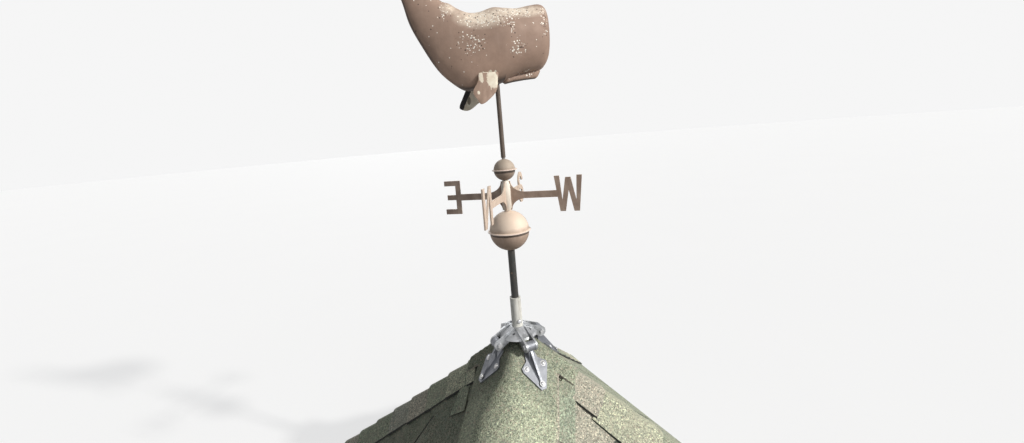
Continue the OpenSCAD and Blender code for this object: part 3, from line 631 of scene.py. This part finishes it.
def cut(v, f, t, planes):
    """Keeps what lies inside each plane, given by its outward normal and distance, and closes the cuts."""
    bm = bmesh.new()
    lay = bm.verts.layers.float_color.new("tint")
    vs = []
    for p, c in zip(v, t):
        q = bm.verts.new(p)
        q[lay] = (*c, 1)
        vs.append(q)
    for k in f:
        bm.faces.new([vs[j] for j in k])
    for no, away in planes:
        no = Vector(no).normalized()
        geom = bm.verts[:] + bm.edges[:] + bm.faces[:]
        r = bmesh.ops.bisect_plane(bm, geom=geom, plane_co=no * away, plane_no=no, clear_outer=True)
        rim = [e for e in r["geom_cut"] if isinstance(e, bmesh.types.BMEdge)]
        bmesh.ops.holes_fill(bm, edges=rim, sides=0)
    bm.verts.ensure_lookup_table()
    for k, q in enumerate(bm.verts):
        q.index = k
    v = np.array([q.co[:] for q in bm.verts])
    t = np.array([q[lay][:3] for q in bm.verts])
    f = [tuple(q.index for q in fc.verts) for fc in bm.faces]
    bm.free()
    return v, f, t


def shingle_plane(i):
    pile = Pile()
    # A sheet painted dark as shade shows in the slots between the tabs
    across, up = [[-EAVE - 0.02, EAVE + 0.02]], [[0.003], [PLANE - TABS_END - 0.015]]
    pile.add(*shell(on_plane(across, up, DECK_T + 0.0022), on_plane(across, up, DECK_T + 0.0006)), SLOT_PAINTED_SHADE)
    for k in range(math.ceil(PLANE / COURSE)):
        y0 = k * COURSE
        half_w = EAVE - y0 * COS + 0.03
        x = -half_w - rng.uniform(0, 0.05) - (TAB_W / 2 if k % 2 else 0)
        if i == 0 and k == 3:
            # The slots of this course lie under the caps on both sides
            x = -0.065 - TAB_W * math.ceil((half_w - 0.065) / TAB_W)
        while x < half_w:
            w = TAB_W - SLOT_W
            xs = np.linspace(x, x + w, 9)
            ys = y0 + np.array([0.0, 0.004, 0.02, 0.05, 0.09, 0.125, 0.155])
            ys = ys[ys < PLANE - TABS_END]
            if len(ys) < 3:
                break
            gx, gy = np.meshgrid(xs, ys)
            along = (gy - y0) / COURSE
            top = DECK_T + BUTT_T - GAP + (TOP_T - BUTT_T) * along
            curl = rng.uniform(-0.0004, 0.0002, 2)
            u = (gx - x) / w
            worn_butt = 0.0006 * (1 - np.clip((gy - y0) / 0.004, 0, 1))
            top = top - worn_butt + (curl[0] * (1 - u) + curl[1] * u) * (1 - along)
            wave = 0.0012 * np.sin(gx * 21 + k * 2.1 + i) * (1 - np.clip(along * 3, 0, 1))
            # The left plane's tabs are darkened as painted shade
            tint = tab_tint() * (LEFT_PAINTED_SHADE if i == 3 else 1.0)
            if i == 0 and k in (2, 3) and -0.1 < x + w / 2 < 0.3:
                tint = blend_tint(TAN, GREEN, 0.15)
            pile.add(*shell(on_plane(gx, gy + wave, top), on_plane(gx, gy + wave, top - TAB_T)), tint)
            x += TAB_W
    v, f, t = cut(np.vstack(pile.v), pile.f, np.vstack(pile.t), (((1, 1, 0), -0.010), ((-1, 1, 0), -0.010)))
    name = FACES[i]
    piece("tabs_" + name, turned(v, 90 * i), f, SHINGLE, "roof", ("shingles_" + name,), 40, t)


for i in range(4):
    shingle_plane(i)


def hip_frame(i):
    """Unit vectors down hip i, level across it and square to both; hip 0 is at the front left."""
    az = math.radians(225 + 90 * i)
    run = np.array([math.cos(az), math.sin(az), -SLOPE / ROOT2])
    h = run / np.linalg.norm(run)
    t = np.array([-math.sin(az), math.cos(az), 0.0])
    u = np.cross(h, t)
    return h, t, u if u[2] > 0 else -u


FALL = math.acos(COS * COS) / 2
HIP_LEN = math.hypot(EAVE, PLANE)
HIP_NAMES = ("front_left", "front_right", "back_right", "back_left")


def hip_point(i, s, q, n, soft):
    """s down the hip from where the planes meet, q level across, n above the deck's underside."""
    h, t, u = hip_frame(i)
    s, q, n = np.broadcast_arrays(s, q, n)
    v = n / math.cos(FALL) - math.tan(FALL) * (np.sqrt(q * q + soft * soft))
    apex = np.array([0, 0, APEX])
    return apex + s[..., None] * h + q[..., None] * t + v[..., None] * u


CAP_TINTS = (GREEN, GREY, TAN, SAGE, PALE, PALE, TAN, GREEN)
# On the hip at the right, how much wider than the others each cap is
CAP_UNEVEN = {6: -0.006, 5: 0.009, 4: 0.006}
# The butt as it shows, how thin the topmost one is on its wings, the caps' overlap and where they end above
FULL_BUTT, THIN_BUTT, OVERLAP, CAPS_END = 0.0095, 0.004, 0.045, 0.172
# Thickness at the head and how much more there is at the butt, the bend's softness and how far past the eave
HEAD_T, BUTT_MORE, HIP_SOFT, PAST_EAVE = 0.0034, 0.0036, 0.0125, 0.0165


def hip_caps(i):
    pile = Pile()
    for k in range(8):
        s1 = HIP_LEN - k * CAP_STEP
        if s1 < 0.20:
            break
        s0 = max(s1 - CAP_STEP - OVERLAP, CAPS_END)
        wing = (CAP_WING + rng.uniform(-0.004, 0.003) + (CAP_UNEVEN.get(k, 0.0) if i == 1 else 0.0)) * math.cos(FALL)
        rs = np.array([0, 0.003, 0.012, 0.04, 0.08, 0.12, 0.16, 0.24])
        rs = s1 - rs[rs < s1 - s0]
        q = np.concatenate([np.linspace(-1, -0.3, 7), np.linspace(-0.22, 0.22, 13), np.linspace(0.3, 1, 7)])
        S, Q = np.meshgrid(rs, q, indexing="ij")
        head = np.clip((s1 - S) / CAP_STEP, 0, 1.4)
        taper = 1 - 0.10 * np.clip(head - 0.2, 0, 1)
        skew = rng.uniform(-0.004, 0.004)
        butt_dip = 0.002 * np.sin(Q * 9 + k) * (1 - np.clip(head * 6, 0, 1))
        along = S + skew * Q + butt_dip
        butt = FULL_BUTT
        if (i, k) == (1, 7):
            butt = FULL_BUTT - (FULL_BUTT - THIN_BUTT) * np.clip((np.abs(Q) - 0.3) / 0.4, 0, 1)
        n = CAP_N + butt + (CAP_TOP - butt) * head - 0.0004
        n = n - 0.0007 * (1 - np.clip((s1 - S) / 0.003, 0, 1))
        lift = rng.uniform(-0.0006, 0.0)
        n = n + lift * np.abs(Q) * (1 - np.clip(head, 0, 1))
        thick = HEAD_T + BUTT_MORE * np.clip(1 - head, 0, 1)
        across = Q * wing * taper
        slab = shell(hip_point(i, along, across, n, HIP_SOFT), hip_point(i, along, across, n - thick, HIP_SOFT))
        c = CAP_TINTS[(k + 3 * (i - 1)) % len(CAP_TINTS)]
        pile.add(*slab, blend_tint(c, GREEN, rng.uniform(0, 0.12)))
    v, f, t = turned(np.vstack(pile.v), -90 * i), pile.f, np.vstack(pile.t)
    edge = EAVE + PAST_EAVE
    v, f, t = cut(v, f, t, (((-1, 0, 0), edge), ((0, -1, 0), edge)))
    piece("caps_" + HIP_NAMES[i], turned(v, 90 * i), f, SHINGLE, "roof",
          ("hip_caps_" + HIP_NAMES[i],), 40, t)


for i in range(4):
    hip_caps(i)


# The smooth cap: a skirt round the peak, the long tail over the front left hip and a lobe over each other one
def bend(a):
    """Width of the soft bend over the tail where the planes are a from the mast, clear of the foot plates."""
    shoulder = (HINGE_S + FOOT_SHOULDER + 0.006) * COS
    top = shoulder - FOOT_W / 2
    return np.where(a < shoulder, a * top / shoulder, np.minimum(BEND_MAX, top + BEND_GROW * (a - shoulder)))


def ring_of(x, y):
    """How far from the mast the planes are where the smooth cap's outer face has this point."""
    front = np.maximum(-y, -x)
    side = np.where(-y >= -x, x, y)
    a = np.maximum(np.maximum(np.abs(x), np.abs(y)), 1e-4)
    near = (front >= np.maximum(x, y)) & (front > 0)
    lo, hi = a * 0.5, a.copy()
    for _ in range(40):
        mid = (lo + hi) / 2
        l = bend(mid)
        u = np.clip((side + mid) / l, 0, 1)
        off = l * u * (1 - u) ** 2
        over = mid + off > front
        hi = np.where(over, mid, hi)
        lo = np.where(over, lo, mid)
    return np.where(near, (lo + hi) / 2, a)


def down_tail(p):
    """How far plan points are from the mast down the tail's hip, and to which side of it."""
    return -(p[:, 0] + p[:, 1]) / ROOT2, (p[:, 1] - p[:, 0]) / ROOT2


SHEET_T, FLARE, CORNER, PEAK_SOFT = 0.0048, 0.023, 0.05, 0.014
SMOOTH_TINT, SMOOTH_LOW, SMOOTH_RIM = (0.36, 0.392, 0.287), (0.465, 0.50, 0.363), (0.56, 0.46, 0.40)


def peak_cap():
    skirt = PEAK_LEN * COS
    d, e, w = skirt * ROOT2, LOBE * ROOT2, TAIL * ROOT2
    near, far = (d - LOBE) / ROOT2, (d + LOBE) / ROOT2
    # The outline runs round from the tail's right edge: the lobes with the skirt's sides between them, then the tail
    pts = [(w - skirt, -skirt), (skirt - e, -skirt), (near, -far), (far, -near), (skirt, e - skirt),
           (skirt, skirt - e), (far, near), (near, far), (skirt - e, skirt), (e - skirt, skirt),
           (-near, far), (-far, near), (-skirt, skirt - e), (-skirt, w - skirt)]
    rc, dc = REACH - CORNER, TAIL - CORNER
    arc = [(rc + CORNER * math.cos(t), dc + CORNER * math.sin(t)) for t in np.linspace(math.pi / 2, 0, 9)]
    arc += [(r, -q) for r, q in reversed(arc)]
    pts += [(-(r + q) / ROOT2, -(r - q) / ROOT2) for r, q in arc]
    o = []
    for k, p in enumerate(pts):
        q = pts[(k + 1) % len(pts)]
        n = max(1, int(math.dist(p, q) / 0.008))
        o += [(p[0] + (q[0] - p[0]) * j / n, p[1] + (q[1] - p[1]) * j / n) for j in range(n)]
    o = np.array(o)
    # The tail's right edge flares a little as it goes down
    r, q = down_tail(o)
    flare = np.clip((r - 0.03) / 0.15, 0, 1) * FLARE * np.clip(-q / TAIL, 0, 1) ** 3
    o = o + flare[:, None] * np.array([1, -1]) / ROOT2
    p, tri = fill(o, 0.0075)
    a = ring_of(p[:, 0], p[:, 1])
    # The top edge is rounded over
    top_half, soft = PEAK_CUT / SLOPE, PEAK_SOFT
    rounded = top_half + np.clip(a - top_half + soft, 0, 2 * soft) ** 2 / (4 * soft)
    z = SKIN_APEX - SLOPE * np.where(a > top_half + soft, a, rounded)
    z = z - 0.0004 * (1 + np.sin(p[:, 0] * 41 + 1.3 * np.sin(p[:, 1] * 23)))
    # Away from the hips the edge sags onto the shingles
    r, q = down_tail(p)
    rim = edge_dist(o, p)
    off_hips = np.clip((np.minimum(np.abs(r), np.abs(q)) - 0.09) / 0.03, 0, 1)
    z = z - 0.0030 * off_hips * (1 - np.clip(rim / 0.018, 0, 1)) ** 2
    # Yellower low on the tail, darker at the peak and to the left as painted shade, and brown along the right edge
    low = np.clip((r - 0.15) / 0.03, 0, 1)[:, None]
    tint = np.array(SMOOTH_TINT) * (1 - low) + np.array(SMOOTH_LOW) * low
    tint = tint * (0.58 + 0.42 * np.clip((np.maximum(-q, 0) + 0.5 * (r - 0.06)) / 0.13, 0, 1))[:, None]
    warm = (np.clip(1 - rim / 0.010, 0, 1) * (q < -0.1) * (r > 0.05))[:, None] * 0.6
    tint = tint * (1 - warm) + np.array(SMOOTH_RIM) * warm
    v = np.vstack([np.column_stack([p, z]), np.column_stack([p, z - SHEET_T])])
    piece("smooth_cap", v, plate_faces(tri, len(p)), SMOOTH, "roof", ("peak_cap",), 40,
          np.vstack([tint, tint]))


peak_cap()


def under_sheets():
    """The sheet below the smooth cap shows as a strip beside it on both planes: corners by x and by the
    distance in plan from the mast."""
    pile = Pile()
    for i, (a, b, c, d) in ((0, ((0.045, 0.132), (0.126, 0.154), (0.028, 0.2755), (-0.017, 0.2485))),
                            (3, ((-0.086, 0.146), (-0.118, 0.166), (-0.052, 0.258), (0.000, 0.220)))):
        u, w = np.meshgrid(np.linspace(0, 1, 5), np.linspace(0, 1, 15))
        a, b, c, d = map(np.array, (a, b, c, d))
        g = ((1 - w)[..., None] * ((1 - u)[..., None] * a + u[..., None] * b) +
             w[..., None] * ((1 - u)[..., None] * d + u[..., None] * c))
        top = DECK_T + BUTT_T + 0.0030 - 0.0003 * np.sin(w * 9 + u * 3)
        y = PLANE - g[..., 1] / COS
        pile.add(*shell(on_plane(g[..., 0], y, top, i), on_plane(g[..., 0], y, top - 0.0028, i)),
                 (0.385, 0.435, 0.325) if i == 0 else GREEN)
    pile.done("under_sheet_strips", SHINGLE, "roof", (), 40)


under_sheets()


# ---------------------------------------------------------------- mount

def dome(r, h, sides=20):
    """A screw's head: a short straight side and a round top."""
    prof = [(0.0002, 0), (r, 0), (r, h * 0.18)]
    prof += [(r * math.cos(t), h * 0.18 + h * 0.82 * math.sin(t)) for t in np.linspace(0.25, math.pi / 2 - 0.12, 6)]
    return lathe(prof + [(0.0002, h)], sides)


def plane_matrix(i):
    """From the frame of the foot plate on plane i to the part's: x level, y up the slope from its hinge."""
    return Matrix.Rotation(math.radians(90 * i), 4, "Z") @ Matrix.Translation((0, 0, SKIN_APEX)) @ \
        Matrix.Rotation(PITCH, 4, "X") @ Matrix.Translation((0, -HINGE_S, GAP))


def moved(v, m):
    return np.asarray(v) @ np.array(m.to_3x3()).T + np.array(m.translation)


def mount_screws():
    """Three screws with washers on each foot plate."""
    pile = Pile()
    washer = [(0.0002, -0.0006), (0.0095, -0.0006), (0.0092, 0.0011), (0.0002, 0.0012)]
    spots = ((-0.033, -FOOT_SHOULDER, FOOT_T), (0.033, -FOOT_SHOULDER, FOOT_T), (0, -0.121, FOOT_T + 0.0045))
    for i in range(4):
        m = plane_matrix(i)
        for x, y, z in spots:
            v, f = lathe(washer, 24)
            pile.add(moved(v + (x, y, z), m), f)
            v, f = dome(0.0066, 0.0042)
            pile.add(moved(v + (x, y, z + 0.001), m), f)
    # The bolt in the sleeve
    v, f = dome(0.008, 0.006)
    side = Matrix.Translation((0, 0, PEAK + 0.078)) @ Matrix.Rotation(CAM_AZ + 0.45, 4, "Z") @ \
        Matrix.Translation((SLEEVE_R - 0.0006, 0, 0)) @ Matrix.Rotation(math.pi / 2, 4, "Y")
    pile.add(moved(v, side), f)
    pile.done("mount_screws", BOLT_M, "roof", (), 40)


mount_screws()


# ---------------------------------------------------------------- mast

ROD_CLEAR, HUB_R = 0.0004, 0.0175


def globe(name, r, z, hides, mat):
    """Two halves that meet in a standing seam, on the rod."""
    below, above = np.linspace(-math.pi / 2 + 0.12, -0.05, 22), np.linspace(0.05, math.pi / 2 - 0.12, 22)
    prof = [(ROD_R + ROD_CLEAR, -r + ROD_CLEAR)]
    prof += [(r * math.cos(t), r * math.sin(t)) for t in below]
    prof += [(r + SEAM_OUT * 0.8, -SEAM_T / 2), (r + SEAM_OUT, -SEAM_T / 4), (r + SEAM_OUT, SEAM_T / 4),
             (r + SEAM_OUT * 0.8, SEAM_T / 2)]
    prof += [(r * math.cos(t), r * math.sin(t)) for t in above]
    prof.append((ROD_R + ROD_CLEAR, r - ROD_CLEAR))
    v, f = lathe(prof, 96, (0, 0, z))
    piece(name, v, f, mat, "roof", (hides,), 50)


globe("globe_lower", LARGE_R, LARGE_Z, "large_globe", GLOBE_M)
globe("globe_upper", SMALL_R, SMALL_Z, "small_globe", SMALL_M)

# The post between the globes, which hides the inner ends of the arms' roots
neck = [(ROD_R + ROD_CLEAR, GAP), (0.0125, GAP), (0.0135, 0.005), (HUB_R, 0.012), (HUB_R, HUB_H - 0.016),
        (0.0135, HUB_H - 0.006), (0.0125, HUB_H - GAP), (ROD_R + ROD_CLEAR, HUB_H - GAP)]
v, f = lathe(neck, 48, (0, 0, HUB_Z))
piece("compass_post", v, f, HUB_M, "roof", ("compass_hub",), 40)


# ---------------------------------------------------------------- whale

# Stations along the hull, in mm: x and z at its top, x and z at its bottom, half its width
WHALE = np.array([
    (206, 236, 206, 112, 24), (198, 267, 194, 76, 52), (176, 281, 172, 49, 72), (135, 276, 130, 38, 82),
    (86, 266, 84, 30, 87), (40, 268, 40, 14, 88), (0, 270, 0, 0, 84), (-45, 255, -60, -11, 76),
    (-85, 253, -114, -17, 66), (-120, 266, -165, 16, 56), (-148, 284, -208, 62, 47), (-176, 293, -251, 138, 37),
    (-200, 320, -286, 214, 28), (-226, 364, -303, 284, 21), (-257, 412, -320, 346, 15),
    (-286, 458, -338, 402, 11)]) / 1000
WHALE_SEAM = 0.0022


def vane(v):
    """From the whale's own frame to the part's."""
    v = turned(v, math.degrees(VANE_TURN))
    return v + np.array([0, 0, BELLY_Z])


def whale_ring(s, a, seam=0.0):
    """A station's section at the angles a from its top, with the ridge of the seam along back and belly."""
    top, bot = np.array([s[0], s[1]]), np.array([s[2], s[3]])
    mid, arm = (top + bot) / 2, (top - bot) / 2
    reach = np.linalg.norm(arm)
    c, sn = np.cos(a), np.sin(a)
    ridge = seam * np.exp(-(sn / 0.035) ** 2)
    k = (reach + ridge) / reach
    w = s[4] * np.sign(sn) * np.abs(sn) ** 0.85
    return np.column_stack([mid[0] + arm[0] * c * k, w, mid[1] + arm[1] * c * k])


def whale_body():
    st = spline(WHALE, 6, False)
    sides = 112
    u = np.linspace(0, 2 * math.pi, sides, endpoint=False)
    # More points near the two seams
    a = u - 0.42 * np.sin(2 * u)
    rings = [whale_ring(s, a, WHALE_SEAM * min(1, (len(st) - 1 - k) / 8)) for k, s in enumerate(st)]
    # The snout is rounded over instead of ending in a flat face
    nose = rings[0].mean(0)
    for shrink, out in ((0.86, 0.0021), (0.62, 0.0036), (0.3, 0.0045)):
        rings.insert(0, nose + (whale_ring(st[0], a) - nose) * shrink + np.array([out, 0, 0]))
    v, f = tube_loft(rings)
    piece("whale_hull", vane(v), f, WHALE_M, "vane", ("whale_body",), 60)


whale_body()


def whale_jaw():
    xs = np.linspace(0.020, 0.1665, 30)
    half = np.interp(xs, [0.020, 0.034, 0.090, 0.148, 0.1665], [0.0080, 0.0190, 0.0170, 0.0120, 0.0030])
    low = np.interp(xs, [0.020, 0.030, 0.060, 0.104, 0.146, 0.158, 0.1665],
                    [0.0060, -0.0015, 0.0045, 0.0100, 0.0130, 0.0220, 0.0380])
    high = np.interp(xs, [0.020, 0.060, 0.090, 0.130, 0.150, 0.1665],
                     [0.0240, 0.0310, 0.0360, 0.0440, 0.0480, 0.0500])
    a = np.linspace(0, 2 * math.pi, 28, endpoint=False)
    rings = []
    for x, h, l, t in zip(xs, half, low, high):
        c, s = np.cos(a), np.sin(a)
        y = h * np.sign(c) * np.abs(c) ** 0.7
        z = (l + t) / 2 + (t - l) / 2 * np.sign(s) * np.abs(s) ** 0.7
        rings.append(np.column_stack([np.full(len(a), x), y, z]))
    v, f = tube_loft(rings)
    piece("whale_lower_jaw", vane(v), f, JAW_M, "vane", ("whale_jaw",), 45)


whale_jaw()

# Half the flukes and the far flipper, in mm
BLADE = np.array([(22, 0), (20, 14), (2, 50), (-18, 88), (-46, 122), (-50, 118), (-44, 84), (-34, 50), (-26, 22),
                  (-14, 0)]) / 1000
FLIP = np.array([(-20, 42), (-28, -28), (-38, -46), (-62, -66), (-96, -88), (-126, -82), (-130, -68), (-118, -40),
                 (-102, -6), (-78, 36)]) / 1000


def flukes():
    o = np.vstack([BLADE, BLADE[-2:0:-1] * (1, -1)])
    o = spline(o, 4)
    top, bot = WHALE[-1][:2], WHALE[-1][2:4]
    mid = (top + bot) / 2
    tilt = math.atan2(top[1] - bot[1], top[0] - bot[0])
    v, f = leaf(o, 0.009, FIN_T / 2, 0.014, lambda p: -0.0022 + 0.0004 * np.cos(p[:, 1] * 40))
    m = Matrix.Translation((mid[0], 0, mid[1])) @ Matrix.Rotation(-tilt, 4, "Y") @ \
        Matrix.Translation((0, 0, FIN_T / 2 + GAP))
    piece("whale_tail_fin", vane(moved(v, m)), f, FIN_M, "vane", ("whale_flukes",), 60)


flukes()


# The near one is the shorter in the photograph
NEAR_FLIP = np.array([(-11, 42), (-13, 2), (-22, -34), (-50, -64), (-80, -82), (-92, -66), (-104, -36), (-82, 2),
                      (-70, 36)]) / 1000


def flipper(s, name):
    """The flipper on the left (s = 1) or on the right, which is the near one (s = -1)."""
    v, f = leaf(spline(NEAR_FLIP if s < 0 else FLIP, 5), 0.008, FIN_T / 2, 0.010)
    # Ribs fan out from the root
    ang = np.arctan2(v[:, 1] - 0.06, v[:, 0] + 0.045)
    v[:, 2] += 0.0009 * np.sin(ang * 34) * np.clip((0.03 - v[:, 1]) / 0.05, 0, 1)
    root = 0.038
    m = Matrix.Translation((0, s * 0.057, root)) @ Matrix.Rotation(s * SPLAY, 4, "X") @ \
        Matrix.Translation((0, 0, -root)) @ Matrix.Rotation(math.pi / 2, 4, "X")
    piece("flipper_" + name, vane(moved(v, m)), f, NEAR_M if s < 0 else FAR_M, "vane",
          ("whale_flipper_" + name,), 60)


flipper(1, "left")
flipper(-1, "right")


# ---------------------------------------------------------------- carried-over nodes

PLAIN = {
    "hip_rafters": TIMBER_X, "peak_post": TIMBER_Z, "mount_saddle": SADDLE_M, "hinge_bolts": BOLT_M, "pole": POLE_M,
    "spindle": ROD_M, "compass_arm_north": COMPASS_PAINTED_LIT_M, "compass_arm_east": COMPASS_PAINTED_SHADE_M, "compass_arm_south": COMPASS_PAINTED_LIT_M,
    "compass_arm_west": MAST_M, "vane_tube": TUBE_M,
}
for side, timber in zip(FACES, (TIMBER_X, TIMBER_Y, TIMBER_X, TIMBER_Y)):
    PLAIN.update({"base_rail_" + side: timber, "deck_" + side: timber, "eave_board_" + side: TRIM_M,
                  "mount_foot_" + side: CAST_M})
for name, mat in PLAIN.items():
    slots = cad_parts[name].data.materials
    slots.clear()
    slots.append(mat)


# ---------------------------------------------------------------- stage

def floor():
    m, t, b = shader("stage_pale")
    grey = ramp(t, noise(t, 0.8, 2), [(0.3, (0.257, 0.258, 0.260)), (0.7, (0.263, 0.264, 0.266))])
    put(t, b.inputs["Base Color"], grey)
    b.inputs["Roughness"].default_value = 0.9
    b.inputs["Specular IOR Level"].default_value = 0.1
    # The camera, and what mirrors it, sees the floor paler than it lights the object
    b.inputs["Emission Color"].default_value = (1, 1, 1, 1)
    put(t, b.inputs["Emission Strength"], calc(t, "MULTIPLY", rays_seen(t), 0.697))
    n = 96
    a = np.linspace(0, 2 * math.pi, n, endpoint=False)
    v = [(0, 0, 0)] + [(r * math.cos(x), r * math.sin(x), 0) for r in (3, 60) for x in a]
    f = [(0, 1 + i, 1 + (i + 1) % n) for i in range(n)]
    f += [(1 + i, n + 1 + i, n + 1 + (i + 1) % n, 1 + (i + 1) % n) for i in range(n)]
    me = bpy.data.meshes.new("stage")
    me.from_pydata(v, [], f)
    me.materials.append(m)
    o = bpy.data.objects.new("stage", me)
    bpy.context.scene.collection.objects.link(o)


floor()

world = bpy.data.worlds.new("studio")
bpy.context.scene.world = world
world.use_nodes = True
wt = world.node_tree
sky = wt.nodes["Background"]
seen = rays_seen(wt)
put(wt, sky.inputs["Strength"], calc(wt, "MULTIPLY_ADD", seen, 0.74, 0.18))
put(wt, sky.inputs["Color"], mix(wt, seen, (0.93, 0.965, 1.0), (1.0, 1.0, 1.0)))


def sun(name, strength, spread, at, colour):
    """A sun that shines from this point towards the origin; spread is its width in degrees."""
    d = bpy.data.lights.new(name, "SUN")
    d.energy = strength
    d.color = colour
    d.angle = math.radians(spread)
    o = bpy.data.objects.new(name, d)
    bpy.context.scene.collection.objects.link(o)
    o.location = at
    o.rotation_euler = (-Vector(at)).to_track_quat("-Z", "Y").to_euler()


# The key stands low to the right of the camera, so that the left planes fall into soft shade
sun("key", 3.35, 3, (6.2, -7.4, 5.4), (1.0, 0.975, 0.93))
sun("fill", 0.65, 40, (0.7, -4.0, 0.3), (0.93, 0.965, 1.0))
sun("back", 0.8, 30, (1.5, 6.0, 1.2), (0.95, 0.98, 1.0))

cam = bpy.data.cameras.new("photo_camera")
cam.lens = CAM_LENS
cam.sensor_width = 36
cam.shift_y = CAM_SHIFT_Y
cam.clip_start, cam.clip_end = 0.02, 60
cam_ob = bpy.data.objects.new("photo_camera", cam)
bpy.context.scene.collection.objects.link(cam_ob)
eye = Vector((CAM_OUT * math.cos(CAM_AZ), CAM_OUT * math.sin(CAM_AZ), PEAK + CAM_UP))
heading = CAM_AZ + math.pi + CAM_YAW
level = Matrix.Rotation(heading - math.pi / 2, 4, "Z") @ Matrix.Rotation(math.pi / 2 - CAM_PITCH, 4, "X")
cam_ob.matrix_world = Matrix.Translation(eye) @ level @ Matrix.Rotation(CAM_ROLL, 4, "Z")
bpy.context.scene.camera = cam_ob

bpy.context.scene.view_settings.view_transform = "Standard"
